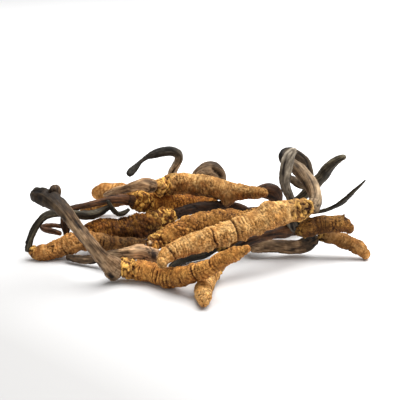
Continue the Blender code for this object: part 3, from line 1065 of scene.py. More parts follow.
@dataclass
class Stalk(Piece):
    """A dried fungus stalk or branch, from where it grows outwards.

    Fields:
        finish: How the rind dried.
        wrinkle: Depth of the lengthwise wrinkles, as a share of the radius.
        flat: How much thinner it is one way than the other, from 0 to 1.
        flat_way: The direction in which it is thinnest where it starts.
        twist: Turns about its middle line per mm.
        root: How far it reaches back into what it grows from, in mm.
        pitted: Over what length from the root the rind is pitted, in mm.
        worn: How pale the crests are, partly from wear and partly as painted highlight, from 0 to
            1.
        specks: How pitted the rest of the rind is, from 0 to 1.
    """

    finish: StalkFinish = StalkFinish.GREY
    wrinkle: float = 0.14
    flat: float = 0.15
    flat_way: tuple[float, float, float] = (0.0, 1.0, 0.3)
    twist: float = 0.006
    root: float = 2.1
    pitted: float = 3.0
    worn: float = 0.6
    specks: float = 0.2

    MATERIAL = "air_dried_fungus_stalk"
    # Points round the stalk, and the distance between two rings of them, in mm.
    AROUND = 44
    PITCH = 0.2
    # Radii in mm between which the pits fade out towards an end.
    FADE = (0.1, 0.8)
    # One unit along the stalk in the wrinkles' noise, in mm.
    WRINKLE_LENGTH = 6.0
    # Width and depth in mm of the pits, and how pitted the root is.
    PIT_WIDTH, PIT_DEPTH, ROOT_PITS = 0.7, 0.3, 0.9
    # How far the crease, broad, narrow and hair-fine wrinkles shape the rind.
    CREASED, BROAD, NARROW, HAIR = 0.55, 0.55, 0.42, 0.2

    def shaped(self) -> tuple[np.ndarray, dict[str, np.ndarray]]:
        """Ring by ring surface points in mm, and the marks at each."""
        route = Route(self.stations, self.PITCH, before=self.root)
        across, side = route.carried(self.flat_way)
        turned = 2 * math.pi * self.twist * route.run
        first = across * np.cos(turned)[:, None] + side * np.sin(turned)[:, None]
        second = np.cross(route.tangent, first)
        cos, sin = circle(self.AROUND)
        outward = first[:, None] * cos[..., None] + second[:, None] * sin[..., None]
        radius = route.radius[:, None]
        run = np.repeat(route.run[:, None], self.AROUND, axis=1)
        skin = np.stack((run, radius * cos, radius * sin), -1)
        broad, narrow, hair, crease = self.wrinkles(run, cos, sin)
        pits = self.pits(run, skin)

        folded = self.BROAD * broad + self.NARROW * narrow + self.HAIR * hair
        folded = folded - self.CREASED * crease
        swell = 1.0 + 0.06 * cloudy(lengthwise(run), 3.2, self.seed + 5)
        flattened = 1.0 + self.flat * 0.5 - self.flat * cos**2
        dents = self.PIT_DEPTH * pits + 0.05 * cloudy(skin, 0.5, self.seed + 6)
        taper = eased(route.radius, *self.FADE)[:, None]
        height = radius * (flattened * swell + self.wrinkle * folded) - dents * taper
        points = route.places[:, None] + outward * height[..., None]

        # Painted shade in the creases, between the narrow wrinkles and in the pits.
        dark = 0.85 * crease + 0.6 * eased(-narrow, 0.15, 0.7) + 0.9 * pits
        marks = {
            "furrow": np.clip(dark, 0.0, 1.0),
            # Raised wrinkles are paler and lighter, partly wear and partly painted highlight.
            "ridge": self.worn * eased(broad + 0.5 * narrow, -0.1, 0.7),
            "pale": np.zeros_like(run),
            "tone": self.tone(run, skin) * (1.0 + 0.22 * narrow + 0.2 * hair),
            "unrolled": skin,
        }
        return self.lumped(points, outward, marks), marks

    def wrinkles(
        self, run: np.ndarray, cos: np.ndarray, sin: np.ndarray
    ) -> tuple[np.ndarray, ...]:
        """Wrinkles along the stalk: noise that is drawn out lengthwise.

        Args:
            run: Distance along the stalk, in mm.
            cos: Cosine of each point's place round it.
            sin: Sine of each point's place round it.

        Returns:
            Broad, narrow and hair-fine wrinkles from -1 to 1, and the creases
            from 0 to 1.
        """
        drawn = np.stack((run / self.WRINKLE_LENGTH, cos + 0 * run, sin + 0 * run), -1)
        # Each kind's wrinkles to a unit along the stalk, and width round it.
        broad, narrow, hair, part = (
            cloudy(drawn * (often, 1.0, 1.0), width, self.seed + k)
            for k, (often, width) in enumerate(
                ((0.4, 0.85), (0.8, 0.42), (1.2, 0.2), (1.6, 1.3))
            )
        )
        return broad, narrow, hair, bell(broad, 0.1) * eased(part, -0.35, 0.25)

    def pits(self, run: np.ndarray, skin: np.ndarray) -> np.ndarray:
        """Pits in the rind, from 0 to 1, most of them round the root."""
        base = 1.0 - eased(run, self.pitted * 0.6, self.pitted * 1.4)
        often = self.specks + (self.ROOT_PITS - self.specks) * base
        return eased(cloudy(skin, self.PIT_WIDTH, self.seed + 4), 0.12, 0.36) * often


# ---------------------------------------------------------------- the bundle


@dataclass
class Bundle:
    """All the specimens of the heap."""

    larvae: tuple[Larva, ...]
    stalks: tuple[Stalk, ...]

    def build(self) -> None:
        """Builds and dresses every piece, and reports it."""
        for piece in (*self.larvae, *self.stalks):
            built = piece.build()
            piece.dress(built)
            LOG.info("%s: %d faces", built.name, len(built.data.polygons))


# The middle lines, as rows of x, y, z and thickness in mm, the same as the solids':
# larvae from the tail to the head, stalks from the head to the tip.
LARVA_ROUTES = {
    "front": (
        (12, -26.5, 14.5, 2), (10.5, -26, 13.6, 3), (8.5, -25.5, 12.5, 3.8),
        (5.5, -25, 10.8, 4.3), (2, -24.5, 8.5, 4.5), (-2, -22.6, 6.4, 4.8),
        (-5.5, -19.5, 4, 5.2), (-8.4, -16.8, 2.8, 5.4), (-11.1, -14.8, 2.9, 5.4),
        (-14.2, -13.5, 3.2, 5.4), (-17.3, -12.8, 3.5, 5.3), (-20, -12.3, 3.6, 4.9),
        (-21.6, -12.1, 3.4, 4.2)),
    "long": (
        (-9.7, -21, 7.8, 2.5), (-9.3, -19.5, 8.8, 3.6), (-8, -17.8, 9.8, 4.4),
        (-5.5, -16, 10.5, 5), (-2, -14.3, 11.2, 5.5), (4, -11.8, 12.2, 6),
        (10.5, -9, 13.5, 6.3), (15, -7, 14.5, 6.6), (19, -5.3, 15.6, 6.8),
        (23, -3.5, 16.2, 6.5), (26.5, -1.8, 16.5, 6), (29, 0, 16.5, 5)),
    "middle": (
        (16.5, 7.5, 10.8, 2.8), (14.5, 6.6, 10.8, 4.2), (11, 5.7, 10.8, 5.4),
        (7, 4.6, 11.2, 6), (3, 3.6, 11.1, 6), (-1.5, 2.4, 10.7, 6),
        (-5, 1, 9.7, 5.9), (-8.5, -0.3, 8.4, 5.5), (-11, -1.5, 7.4, 5),
        (-13.3, -3, 6.8, 4)),
    "left": (
        (-16, 10.2, 2.5, 2.2), (-18, 9.2, 2.7, 3.4), (-21.5, 8.1, 2.9, 4.3),
        (-25, 7.2, 3.3, 4.9), (-29, 6.3, 4.3, 5.3), (-31.7, 5.5, 5, 5.6),
        (-34.5, 4.7, 4.8, 5.8), (-37, 4.1, 4.1, 5.6), (-40, 3.7, 3, 5.1),
        (-42.7, 3.4, 2.2, 4.7), (-45.2, 3.4, 2.1, 4), (-46.8, 3.5, 2.7, 3)),
    "dark": (
        (-32.4, 12, 5.8, 3), (-30.8, 13, 5.2, 5.8), (-27.7, 13.8, 4.3, 7.8),
        (-23.8, 14.6, 4, 8.2), (-20, 15.5, 4.6, 7.9), (-16, 16.4, 5.5, 7.6),
        (-12.4, 17.1, 6.6, 6.7), (-9.5, 17.7, 7.5, 5.5), (-7.6, 18.1, 8, 4.2)),
    "crossing": (
        (0.9, -31.2, 2, 2.8), (0.9, -28.5, 2.3, 4), (0.8, -24.5, 2.3, 4.6),
        (1.2, -21.5, 2.1, 4.6), (1.9, -17.2, 2.6, 4.9), (3.4, -13.9, 3.5, 4.6),
        (5, -11.3, 4.5, 4)),
    "top": (
        (18.4, 15, 15.7, 2.6), (16.8, 16.7, 15.2, 3.6), (13.5, 18.5, 14.8, 4.1),
        (9.5, 20.3, 14.7, 5), (5, 22, 14.9, 5.8), (1, 23.3, 15.4, 6.1),
        (-3.2, 24.1, 15.7, 6.2), (-7, 24.3, 15.6, 6.2), (-10, 23.4, 15.1, 5.9),
        (-12.4, 21.8, 15.1, 5.2)),
    "hooked": (
        (-31.4, 32.2, 10.2, 3.8), (-30, 31.8, 10.5, 5.2), (-27.5, 31.4, 10.9, 5.4),
        (-24, 30.9, 10.8, 5.5), (-19.7, 30.5, 11, 5.5), (-15.5, 30.1, 12, 5.3),
        (-12.2, 29.7, 13, 4.7)),
    "shaded": (
        (4.5, 34, 7.2, 3), (2, 33.2, 7.4, 4.2), (-3.6, 30, 7.9, 5.2),
        (-7, 28, 8.2, 5.6), (-11, 25.7, 8.9, 5.8), (-14.6, 23.9, 9.7, 6),
        (-17.4, 21.8, 10.9, 5.7), (-19.1, 20.2, 11.5, 4.6)),
    "right": (
        (41.3, 2.1, 8.9, 2.3), (40.4, 1.9, 10.1, 3.5), (38.6, 1.7, 11.1, 4),
        (35.8, 1.6, 11.4, 4.3), (32.5, 1.6, 11, 4.6), (30, 1.5, 10.2, 4.8),
        (28, 1.6, 9.3, 4.4), (27.1, 1.8, 8.8, 3.6)),
    "low": (
        (46.1, 2.6, 1, 2.2), (45.7, 3.4, 1.8, 3.4), (43.8, 4.2, 3.4, 4),
        (41.1, 5, 4.6, 4.1), (38.2, 5.6, 5.4, 3.8), (35.4, 5.9, 5.7, 3.4),
        (33.4, 6.1, 5.8, 2.9)),
    "looped": (
        (-36.5, 40.5, 1.7, 2.4), (-35, 40.5, 1.8, 3.4), (-32.5, 40.7, 2.5, 3.7),
        (-29.5, 41, 3.7, 3.7), (-25.3, 41.3, 5.2, 3.9), (-21, 41.4, 5.9, 4.3),
        (-16.7, 41.3, 6.1, 4.4), (-13.6, 41.1, 6.1, 4), (-12, 40.9, 6.2, 3.4)),
    "back_right": (
        (34.3, 27.5, 1.2, 2.7), (32.4, 26.4, 2, 4.2), (29.4, 25.4, 3.8, 5.3),
        (26, 24.3, 5.8, 5.6), (22.5, 23.2, 8.2, 5.4), (20.5, 22.1, 9.3, 4.4)),
    "horned": (
        (-1.3, 27.8, 2.6, 3), (1.2, 28.2, 2.2, 4.5), (6, 28.5, 2.5, 5.2),
        (10.8, 28.8, 3.2, 5.3), (15, 29, 3.7, 5.2), (17.8, 29.2, 3.9, 4.3)),
    "under": (
        (19.2, 10.5, 6.6, 2.6), (17.4, 9.1, 6.5, 4), (14, 7.7, 5.6, 4.7),
        (10.3, 6.3, 4.9, 4.8), (7, 5.2, 4.3, 4.5), (4.6, 4.3, 3.9, 3.7)),
}
STALK_ROUTES = {
    "front": (
        (-22.3, -12.6, 3.9, 4.8), (-23.6, -13.5, 5, 4.8), (-25.4, -15.5, 7.7, 4),
        (-28, -16.5, 11.4, 3.4), (-31.9, -15, 16.2, 3.2), (-35.2, -13, 20, 3.6),
        (-38.4, -9.5, 21.4, 4.3), (-40.7, -6.5, 21.3, 4.8), (-42.6, -3.8, 21.1, 4.4),
        (-43.4, -1.2, 20.9, 3.4)),
    "long": (
        (31, 2.7, 15.8, 3.8), (31.7, 4.6, 17, 3.8), (31.4, 6.4, 18.7, 4),
        (30.5, 8.1, 20.4, 4.2), (29.1, 9.9, 22, 4.2), (27.6, 11.7, 23.3, 4.1),
        (25.8, 13.6, 24.4, 3.5), (23.9, 15.5, 25.2, 3), (23.5, 17.4, 26.3, 2.8),
        (25.2, 18.9, 26.6, 3), (27.7, 20, 25.1, 3.3), (29.8, 20.8, 23.1, 3.2),
        (31, 21.6, 20.7, 2.8), (31.4, 22.3, 18, 2.6), (30.2, 22.9, 15.9, 2.7),
        (28.2, 23.6, 16.3, 2.6), (26.2, 24.3, 17.5, 1.8)),
    "middle": (
        (-12.8, -5.3, 4.5, 3.6), (-14.4, -5.8, 5.1, 4.3), (-16.4, -6.4, 5.8, 4.2),
        (-18.7, -6.1, 5.3, 3.6), (-21.3, -4.9, 4.5, 3.4), (-24.4, -3.8, 3.8, 3.2),
        (-27.5, -2.7, 2.8, 2.9), (-30.7, -1.5, 1.9, 2.5), (-34, -0.2, 1.6, 2.2),
        (-36.5, 0.9, 1.7, 1.6)),
    "left": (
        (-47.5, 3.7, 4.2, 1.9), (-47.1, 4, 5.8, 1.9), (-46.1, 4.5, 8, 1.9),
        (-44.7, 5.2, 10.2, 2), (-42.8, 6.3, 11.8, 2.1), (-40.6, 7.5, 12.1, 2.1),
        (-37.7, 8.9, 11.6, 2.1), (-34.3, 10.6, 10.7, 2.4), (-30.8, 12.4, 10, 2.8),
        (-28.1, 14.1, 10.5, 2.4), (-26, 15.9, 11.2, 1.6)),
    "dark": (
        (-6, 18.5, 8.6, 3.4), (-4.3, 18.8, 9.2, 3.4), (-2, 19.2, 9.7, 3.4),
        (1, 19.9, 9.9, 3.4), (4, 20.6, 9.9, 3.4), (7.6, 21.4, 9.7, 3.3),
        (10.6, 22.2, 9.1, 2.8), (14, 22.9, 8, 1.9), (17.2, 23.4, 8.2, 1.2)),
    "crossing": (
        (7.2, -8.8, 5.5, 2.6), (9.5, -6.8, 6.7, 2.7), (12.5, -5, 8, 2.6),
        (16, -2.8, 8.7, 2.5), (19.5, -0.5, 8.8, 2.5), (23.2, 2.6, 8.3, 2.4),
        (25.8, 5.3, 7.5, 2.6), (28.2, 7.6, 6.8, 2.2)),
    "top": (
        (-14.3, 19.8, 16.4, 3.9), (-16.1, 19.2, 17, 3.5), (-18.7, 19.4, 16.4, 2.8),
        (-21.6, 20.6, 15.1, 2.4), (-24.6, 21.7, 14, 2.2), (-27, 22.8, 12.9, 1.6),
        (-28, 23.8, 12.1, 1)),
    "hooked": (
        (-8.7, 29.2, 14.6, 2.8), (-8.4, 29, 16.1, 2.5), (-8, 28.6, 18.2, 2.4),
        (-7, 28.1, 20.2, 2.2), (-6.2, 27.4, 22.2, 2.1), (-6.6, 26.6, 24, 2.3),
        (-8.3, 25.8, 25, 2.4), (-10.7, 24.9, 25.1, 2.4), (-13.3, 23.9, 24.6, 2),
        (-15.4, 22.9, 23.9, 1.3), (-17, 21.8, 23, 1), (-18.2, 20.7, 21.9, 1.5),
        (-19.5, 19.7, 20.7, 2), (-20.4, 18.7, 20.1, 1.6)),
    "shaded": (
        (-20.4, 18.7, 12.3, 3.2), (-22.3, 17.3, 13.2, 2.6), (-25.1, 16, 13.4, 2.1),
        (-28.2, 15, 13, 1.8), (-31.2, 14.1, 12.6, 1.8), (-34, 13.3, 12.2, 1.8),
        (-36.5, 12.6, 11.7, 1.9), (-38.1, 12, 10.6, 1.9), (-38.4, 11.5, 8.5, 2.1),
        (-37.9, 11, 6.3, 2.1), (-37.8, 10.6, 4.7, 1.6)),
    "right": (
        (25.6, 2, 10.8, 3), (24.6, 2, 13.2, 2.9), (25, 2.4, 14.8, 2.6),
        (25.3, 2.9, 16.4, 2.3), (24.6, 3.6, 18.2, 2.2), (23.6, 4.3, 20.3, 2.4),
        (23.1, 5.1, 22.4, 2.8), (23.4, 6, 24.9, 3.3), (23.9, 6.9, 27.2, 3.6),
        (24.8, 7.9, 29, 3), (26.2, 8.9, 30, 1.5)),
    "low": (
        (31.2, 6, 4.6, 3.4), (29.7, 6, 3.6, 4), (27.8, 6, 2.8, 4),
        (25, 5.8, 2.8, 3.8), (21.7, 5.4, 3.2, 3.7), (18.4, 4.9, 3.5, 3.5),
        (15.8, 4.4, 3.4, 3.1), (14.2, 3.9, 3.2, 2.3)),
    "looped": (
        (-9.9, 40.6, 6.3, 3), (-4.9, 40.3, 6.4, 3), (0.4, 39.8, 7.2, 2.9),
        (4.6, 39.1, 9.5, 3.3), (5.9, 38.2, 12.5, 4.2), (5, 37.3, 15.1, 4.8),
        (2.7, 36.4, 16.3, 4.6), (0.3, 35.5, 15.7, 4), (-1.5, 34.6, 14.6, 2.8)),
    "back_right": (
        (21.9, 21.5, 11, 3.8), (21.7, 21, 13, 4.6), (20.5, 20.7, 14.3, 4.7),
        (18.5, 20.8, 14.4, 3.9), (16.6, 21, 14.2, 2.8)),
    "horned": (
        (20.4, 29.3, 3.6, 3.5), (24.6, 29.2, 5.6, 3.2), (29, 29.1, 8.7, 3.2),
        (32.3, 28.6, 12.3, 3.5), (34.5, 27.9, 15.2, 3.8), (36.1, 27.1, 17.3, 3.7),
        (37.2, 26.2, 19.5, 3.3), (38.7, 25.2, 21.6, 2.9), (40.4, 24.2, 23.2, 2.3),
        (41.6, 23.2, 24, 1.7)),
    "under": (
        (3, 3.5, 2.9, 2.7), (0.6, 2.3, 1.8, 2.5), (-2.2, 1, 1.7, 2.3),
        (-4.4, -0.6, 1.6, 2.2), (-6.5, -2.6, 1.2, 2), (-8, -4.4, 0.9, 1.5)),
    "front_lobe": (
        (-38.2, -7.8, 21.6, 2.6), (-38, -7.4, 22.6, 3.3), (-38.1, -7, 23.5, 3.4),
        (-38.3, -6.6, 24.2, 2.6)),
    "shaded_strand": (
        (-40.4, 14, 6.2, 1.3), (-42.4, 13.5, 6.5, 1.4), (-44.2, 12.6, 6.6, 1.4),
        (-44.8, 11.8, 6.3, 1.3), (-43.6, 11, 6, 1.5), (-41.2, 10.2, 5.8, 1.7),
        (-39.3, 9.5, 5.5, 1.4)),
    "shaded_curl": (
        (-25.3, 14, 12.1, 1.1), (-24.7, 14.1, 11, 1.4), (-23.8, 14.5, 9.9, 1.5),
        (-22.7, 14.8, 9.5, 1.6), (-21.3, 15.1, 10, 1.5), (-20.3, 15.3, 10.7, 1.2)),
    "horned_spike": (
        (30, 27, 8.8, 1.8), (31.5, 24.5, 8.4, 1.5), (33.5, 22, 7.8, 1.2),
        (36, 20, 8.8, 1.2), (38.3, 18, 10.5, 1.3), (40.2, 16, 12.4, 1.5),
        (41.8, 14, 14.8, 1.5), (43.4, 12.5, 17.2, 1.3), (44.8, 11, 19.3, 1),
        (45.8, 9.5, 21.1, 0.6)),
}


def row(middles: tuple[tuple[float, float, float], ...], *sizes: float) -> tuple[Lump, ...]:
    """Lumps of one size at several places, with their reach, height and so on."""
    return tuple(Lump(middle, *sizes) for middle in middles)


# Pits with painted shade in them, between the rungs of hide on the head of the
# longest larva, which rises by these amounts for each mm to the right.
LADDER_FOOT = (24.0, -6.5, 16.4)
LADDER_SLOPE = (0.55, 0.3)
LADDER = row(
    tuple(
        (
            along,
            LADDER_FOOT[1] + LADDER_SLOPE[0] * (along - LADDER_FOOT[0]),
            LADDER_FOOT[2] + LADDER_SLOPE[1] * (along - LADDER_FOOT[0]) + up,
        )
        for along in (24.8, 26.2, 27.6, 28.9)
        for up in (-0.7, 0.1, 0.9)
    ),
    0.62,
    -0.8,
    1.0,
)
# Feet that stand out under it, and the swelling on its back.
FEET = (
    Lump((2.1, -15.6, 9.0), 0.8, 0.8),
    Lump((12.6, -12.0, 10.4), 1.0, 0.9),
    Lump((0.2, -16.2, 8.9), 0.5, 0.5),
)
SHOULDER = Lump((17.5, -4.5, 19.2), 2.2, 0.9)
# A hump on the tail of the larva behind it, and a bare white spot on its head.
HUMP = Lump((17.0, 6.0, 12.6), 2.6, 2.6)
BARE_SPOT = Lump((-13.7, -4.4, 7.9), 0.5, 0.2, 0.0, 0.8)
# The hole in the tail that points forwards, with painted shade in it.
TAIL_HOLE = Lump((1.7, -32.5, 3.3), 1.0, -0.6, 0.95)
# The leg that hangs under the topmost larva, darkened a little with painted shade.
HANGING_LEG = Lump((8.0, 19.1, 12.7), 1.9, 2.6, 0.25)
# A bristle, a knob and a dent on the tail at the right, darkened with painted shade.
TAIL_BRISTLE = (
    Lump((39.2, 1.5, 13.2), 0.4, 1.3, 0.6),
    Lump((41.2, 1.0, 10.0), 0.7, 0.6, 0.3),
    Lump((40.0, -0.2, 9.2), 0.6, -0.5, 0.7),
)
# The front stalk's broad foot round the head, and the hollows in its curled tip
# and in the lobe beside it, with painted shade in the hollows.
COLLAR_AND_CURL = (
    Lump((-22.6, -13.6, 2.2), 2.4, 1.2),
    Lump((-39.6, -8.2, 23.6), 0.8, -1.1, 0.95),
    Lump((-41.2, -7.6, 21.6), 0.7, -0.5, 0.9),
)
LOBE_DENT = Lump((-38.2, -8.6, 23.4), 0.6, -0.4, 0.9)
# The foot of the stalk behind the longest larva's tail, darkened with painted shade.
STALK_FOOT = Lump((-12.2, -5.8, 4.2), 1.7, 1.5, 0.6)
# A knob halfway along the stalk that runs under the longest larva.
STALK_KNOB = Lump((23.4, 2.0, 9.8), 2.6, 1.3)
# Painted shade on the left face of the stalk at the right, and in the cleft of the rolled-up
# knob.
RUBBED_EDGE = row(((21.6, 4.2, 20.5), (21.3, 5.0, 23.2), (21.6, 6.0, 26.0)), 1.4, -0.1, 0.4)
ROLLED_CLEFT = row(
    ((4.2, 34.96, 16.95), (4.9, 34.86, 16.1), (5.7, 35.3, 15.3), (6.2, 35.8, 14.5)),
    0.75,
    -1.2,
    0.95,
)


def larva(key: str, seed: int, **sizes: Any) -> Larva:
    """A larva of the heap by its key, with its own seed and sizes."""
    return Larva("larva_" + key, LARVA_ROUTES[key], seed, **sizes)


def stalk(key: str, seed: int, **sizes: Any) -> Stalk:
    """A stalk or branch of the heap by its key, with its own seed and sizes."""
    return Stalk("stalk_" + key, STALK_ROUTES[key], seed, **sizes)


def all_larvae() -> tuple[Larva, ...]:
    """Every larva, front ones first."""
    golden, tan, orange, brown = LarvaFinish
    # The tones darken the parts that lie in shade and lighten those that lie in light, as painted
    # light and shade over each larva's own tone.
    return (
        larva(
            "front", 100, finish=tan, ring=1.05, depth=0.38, marked=0.95, head=7.5,
            head_crumble=0.8, crumble=0.34, cracks=(16.0,), legs=0.6,
            tones=((0.0, 1.4), (0.3, 1.65), (0.6, 1.7), (1.0, 1.75)),
        ),
        larva(
            "long", 200, finish=golden, depth=0.26, marked=0.6, head=8.5, head_crumble=0.5,
            crumble=0.34, cracks=(5.0, 17.5, 24.0), legs=0.9,
            tones=((0.0, 1.45), (0.3, 1.2), (0.6, 1.15), (0.8, 1.25), (1.0, 1.1)),
            lumps=LADDER + FEET + (SHOULDER,),
        ),
        larva(
            "middle", 300, finish=tan, depth=0.22, marked=0.45, head=6.5, head_crumble=0.6,
            crumble=0.6, lumpy=2.4, grain=0.8, tones=((0.0, 0.9), (0.5, 1.0), (1.0, 1.45)),
            lumps=(HUMP, BARE_SPOT),
        ),
        larva(
            "left", 400, finish=orange, ring=1.3, depth=0.34, marked=0.6, crumble=0.36,
            lumpy=1.5, head=2.5, head_crumble=0.25,
            tones=((0.0, 0.25), (0.38, 0.4), (0.5, 1.1), (1.0, 1.3)),
        ),
        larva(
            "dark", 500, finish=brown, ring=1.3, depth=0.4, crumble=0.75, lumpy=1.8,
            grain=0.85, head=10.0, head_crumble=0.6,
            tones=((0.0, 1.7), (0.2, 1.0), (0.4, 0.55), (0.7, 0.85), (1.0, 1.7)),
            belly=(0.0, -0.5, -1.0), stain=0.5,
        ),
        larva(
            "crossing", 600, finish=golden, depth=0.42, marked=0.7, crumble=0.34,
            tones=((0.0, 1.4), (1.0, 1.4)), lumps=(TAIL_HOLE,),
        ),
        larva(
            "top", 700, finish=golden, depth=0.2, marked=0.5, crumble=0.38, lumpy=1.3,
            head=8.0, head_crumble=0.75, stain=0.8, belly=(0.0, -0.9, -1.0),
            tones=((0.0, 1.05), (0.6, 1.0), (0.8, 1.2), (1.0, 1.8)), lumps=(HANGING_LEG,),
        ),
        larva(
            "hooked", 800, finish=orange, depth=0.12, marked=0.3, crumble=0.12,
            head_crumble=0.2, tones=((0.0, 1.2), (1.0, 1.3)),
        ),
        larva(
            "shaded", 900, finish=brown, depth=0.26, crumble=0.6, lumpy=2.0, grain=0.8,
            head=9.0, head_crumble=0.7, tones=((0.0, 1.5), (0.6, 2.1), (0.8, 2.4), (1.0, 2.1)),
        ),
        larva(
            "right", 1000, finish=tan, depth=0.28, crumble=0.5, lumpy=1.6, stain=0.6, head=3.0,
            tones=((0.0, 0.95), (0.5, 0.5), (1.0, 0.6)), lumps=TAIL_BRISTLE,
        ),
        larva(
            "low", 1100, finish=orange, depth=0.2, marked=0.4, crumble=0.24, legs=0.4,
            head_crumble=0.2, head=3.0, tones=((0.0, 1.05), (0.4, 0.7), (1.0, 0.5)),
        ),
        larva(
            "looped", 1200, finish=tan, depth=0.15, crumble=0.12, legs=0.4,
            tones=((0.0, 0.8),),
        ),
        larva("back_right", 1300, finish=orange, depth=0.2, tones=((0.0, 0.8),)),
        larva("horned", 1400, finish=brown, depth=0.2, tones=((0.0, 0.7),)),
        larva("under", 1500, finish=brown, depth=0.2, tones=((0.0, 0.6),)),
    )


def all_stalks() -> tuple[Stalk, ...]:
    """Every stalk, in the order of the larvae, and then the side branches."""
    ash, pale, grey, dark, black = StalkFinish
    # The tones darken the parts that lie in shade and lighten those that lie in light, as painted
    # light and shade over each stalk's own tone.
    return (
        stalk(
            "front", 2100, finish=grey, wrinkle=0.26, flat=0.1, twist=0.004, pitted=3.5,
            worn=0.9, specks=0.12,
            tones=((0.0, 0.85), (0.15, 1.05), (0.5, 0.8), (0.6, 0.35), (0.68, 0.13), (1.0, 0.12)),
            lumps=COLLAR_AND_CURL,
        ),
        stalk(
            "long", 2200, finish=pale, pitted=3.5, wrinkle=0.14, worn=0.8, specks=0.08,
            tones=(
                (0.0, 0.5), (0.08, 0.65), (0.18, 0.85), (0.36, 0.55), (0.46, 0.28),
                (0.6, 0.18), (0.8, 0.22), (1.0, 0.5),
            ),
        ),
        stalk(
            "middle", 2300, finish=grey, pitted=5.0, wrinkle=0.26, worn=0.9, specks=0.25,
            tones=((0.0, 1.5), (0.1, 2.7), (0.25, 2.8), (0.5, 0.8), (1.0, 0.5)),
            lumps=(STALK_FOOT,),
        ),
        stalk("left", 2400, finish=black, tones=((0.0, 1.0), (0.7, 1.2), (1.0, 1.0))),
        stalk(
            "dark", 2500, finish=dark, specks=0.5, wrinkle=0.24,
            tones=((0.0, 0.4), (0.5, 0.22), (0.75, 0.7), (1.0, 0.5)),
        ),
        stalk(
            "crossing", 2600, finish=dark,
            tones=((0.0, 0.5), (0.5, 0.6), (0.7, 0.9), (1.0, 0.7)), lumps=(STALK_KNOB,),
        ),
        stalk("top", 2700, finish=grey, worn=0.9, tones=((0.0, 1.3), (0.3, 2.6), (1.0, 2.2))),
        stalk(
            "hooked", 2800, finish=ash, flat=0.35,
            tones=((0.0, 2.2), (0.22, 2.4), (0.32, 0.7), (0.45, 0.18), (1.0, 0.13)),
        ),
        stalk(
            "shaded", 2900, finish=dark,
            tones=((0.0, 1.1), (0.6, 1.1), (0.75, 0.6), (1.0, 0.5)),
        ),
        stalk(
            "right", 3000, finish=ash, flat=0.4,
            tones=((0.0, 0.4), (0.3, 0.45), (0.6, 0.75), (1.0, 1.1)), lumps=RUBBED_EDGE,
        ),
        stalk(
            "low", 3100, finish=grey, wrinkle=0.12,
            tones=((0.0, 0.3), (0.2, 0.35), (0.32, 1.05), (1.0, 0.85)),
        ),
        stalk(
            "looped", 3200, finish=grey, wrinkle=0.22, tones=((0.0, 0.7), (1.0, 0.78)),
            lumps=ROLLED_CLEFT,
        ),
        stalk("back_right", 3300, finish=dark, tones=((0.0, 0.6),)),
        stalk(
            "horned", 3400, finish=black,
            tones=((0.0, 1.2), (0.6, 1.9), (0.93, 1.6), (0.97, 2.8), (1.0, 2.8)),
        ),
        stalk("under", 3500, finish=black, tones=((0.0, 0.6),)),
        stalk(
            "front_lobe", 3600, finish=grey, wrinkle=0.24, tones=((0.0, 0.4), (1.0, 0.5)),
            lumps=(LOBE_DENT,),
        ),
        stalk("shaded_strand", 3700, finish=dark),
        stalk("shaded_curl", 3800, finish=black),
        stalk("horned_spike", 3900, finish=black, flat=0.3),
    )


# ---------------------------------------------------------------- the studio


@dataclass(frozen=True)
class Softbox:
    """A square area light that looks at the heap.

    Fields:
        name: Its name.
        place: Where it stands, in m.
        side: Its width, in m.
        watts: Its power.
    """

    name: str
    place: tuple[float, float, float]
    side: float
    watts: float

    # The middle of the heap, in m.
    AIM = (0.0, 0.0, 0.01)

    def build(self) -> bpy.types.Object:
        """Adds the light, turned to the heap."""
        light = bpy.data.lights.new(self.name, "AREA")
        light.shape = "SQUARE"
        light.size = self.side
        light.energy = self.watts
        lamp = bpy.data.objects.new(self.name, light)
        lamp.location = self.place
        lamp.rotation_mode = "QUATERNION"
        aim = Vector(self.AIM) - Vector(self.place)
        lamp.rotation_quaternion = aim.to_track_quat("-Z", "Y")
        bpy.context.scene.collection.objects.link(lamp)
        return lamp


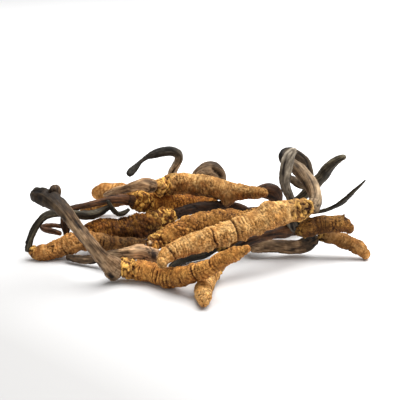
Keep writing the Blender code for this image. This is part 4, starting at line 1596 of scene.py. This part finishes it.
@dataclass(frozen=True)
class Studio:
    """A white table under softboxes, and the camera in front of it.

    Fields:
        aim: What the camera looks at, in m.
        distance: How far the camera stands from it, in m.
        elevation: How high it stands, in degrees above level.
        lens: Focal length in mm on a sensor 36 mm wide.
        softboxes: The lights.
        sky: Strength of the even light from all round.
    """

    aim: tuple[float, float, float] = (0.00058, -0.00574, 0.0185)
    distance: float = 0.3
    elevation: float = 18.0
    lens: float = 100.0
    softboxes: tuple[Softbox, ...] = (
        Softbox("overhead_softbox", (0.13, 0.1, 0.5), 0.65, 6.9),
        Softbox("front_softbox", (0.05, -0.6, 0.4), 0.5, 1.0),
    )
    sky: float = 0.26

    # The table's half width and the camera's near limit, in m.
    TABLE_REACH = 4.0
    NEAR = 0.01
    SENSOR = 36.0
    # Painted shade on the table: it turns from light grey to white between these
    # distances to the back right of the heap's middle, in m.
    SWEEP = ((0.0, "#b8b7b6"), (1.0, "#fafafa"))
    SWEEP_START, SWEEP_END = -0.1, 0.02
    PAPER_ROUGHNESS = 0.6
    PAPER_SPECULAR = 0.2
    BACKDROP = 1.0
    WHITE = "#ffffff"
    BOUNCES = 8

    def build(self) -> None:
        """Adds the floor, the light and the camera."""
        self.floor()
        for softbox in self.softboxes:
            softbox.build()
        self.surroundings()
        self.camera()

    def floor(self) -> bpy.types.Object:
        """The white table top, which isn't part of the bundle."""
        mesh = bpy.data.meshes.new("table_top")
        half = self.TABLE_REACH
        corners = [(-half, -half, 0), (half, -half, 0), (half, half, 0), (-half, half, 0)]
        mesh.from_pydata(corners, [], [(0, 1, 2, 3)])
        table = bpy.data.objects.new("table_top", mesh)
        bpy.context.scene.collection.objects.link(table)
        mesh.materials.append(self.paper())
        return table

    def paper(self) -> bpy.types.Material:
        """Matt white laminated paper: a soft painted shade on a nearly even white, light grey
        towards the front left.
        """
        material = bpy.data.materials.new("matt_white_laminate")
        material.use_nodes = True
        tree = material.node_tree
        shader = tree.nodes["Principled BSDF"]
        place = add(tree, "ShaderNodeTexCoord", output="Object")
        depth = add(
            tree,
            "ShaderNodeVectorMath",
            {"operation": "DOT_PRODUCT"},
            {0: place, 1: (1.0, 1.0, 0.0)},
            output="Value",
        )
        share = add(
            tree,
            "ShaderNodeMapRange",
            sockets={
                "Value": depth,
                "From Min": self.SWEEP_START,
                "From Max": self.SWEEP_END,
            },
        )
        shade = add(tree, "ShaderNodeValToRGB", {"stops": self.SWEEP}, {"Fac": share})
        tree.links.new(shade, shader.inputs["Base Color"])
        shader.inputs["Roughness"].default_value = self.PAPER_ROUGHNESS
        shader.inputs["Specular IOR Level"].default_value = self.PAPER_SPECULAR
        return material

    def surroundings(self) -> None:
        """Even white light from all round, and a white backdrop."""
        world = bpy.data.worlds.new("white_studio")
        bpy.context.scene.world = world
        world.use_nodes = True
        tree = world.node_tree
        tree.nodes.clear()
        light, seen = (
            add(
                tree,
                "ShaderNodeBackground",
                sockets={"Color": linear(self.WHITE), "Strength": strength},
            )
            for strength in (self.sky, self.BACKDROP)
        )
        seen_directly = add(tree, "ShaderNodeLightPath", output="Is Camera Ray")
        mix = add(tree, "ShaderNodeMixShader", sockets={0: seen_directly, 1: light, 2: seen})
        add(tree, "ShaderNodeOutputWorld", sockets={"Surface": mix})
        scene = bpy.context.scene
        scene.view_settings.view_transform = "Standard"
        scene.view_settings.look = "None"
        scene.cycles.max_bounces = self.BOUNCES

    def camera(self) -> bpy.types.Object:
        """The camera, in front of the heap and a little above it."""
        lens = bpy.data.cameras.new("front_camera")
        lens.lens = self.lens
        lens.sensor_width = self.SENSOR
        lens.clip_start = self.NEAR
        view = bpy.data.objects.new("front_camera", lens)
        rise = math.radians(self.elevation)
        back = Vector((0.0, -math.cos(rise), math.sin(rise)))
        view.location = Vector(self.aim) + back * self.distance
        view.rotation_euler = (math.radians(90.0) - rise, 0.0, 0.0)
        bpy.context.scene.collection.objects.link(view)
        bpy.context.scene.camera = view
        return view


def main() -> None:
    """Builds the studio and the bundle."""
    Studio().build()
    Bundle(all_larvae(), all_stalks()).build()
    LOG.info("bundle built")


if __name__ == "__main__":
    main()
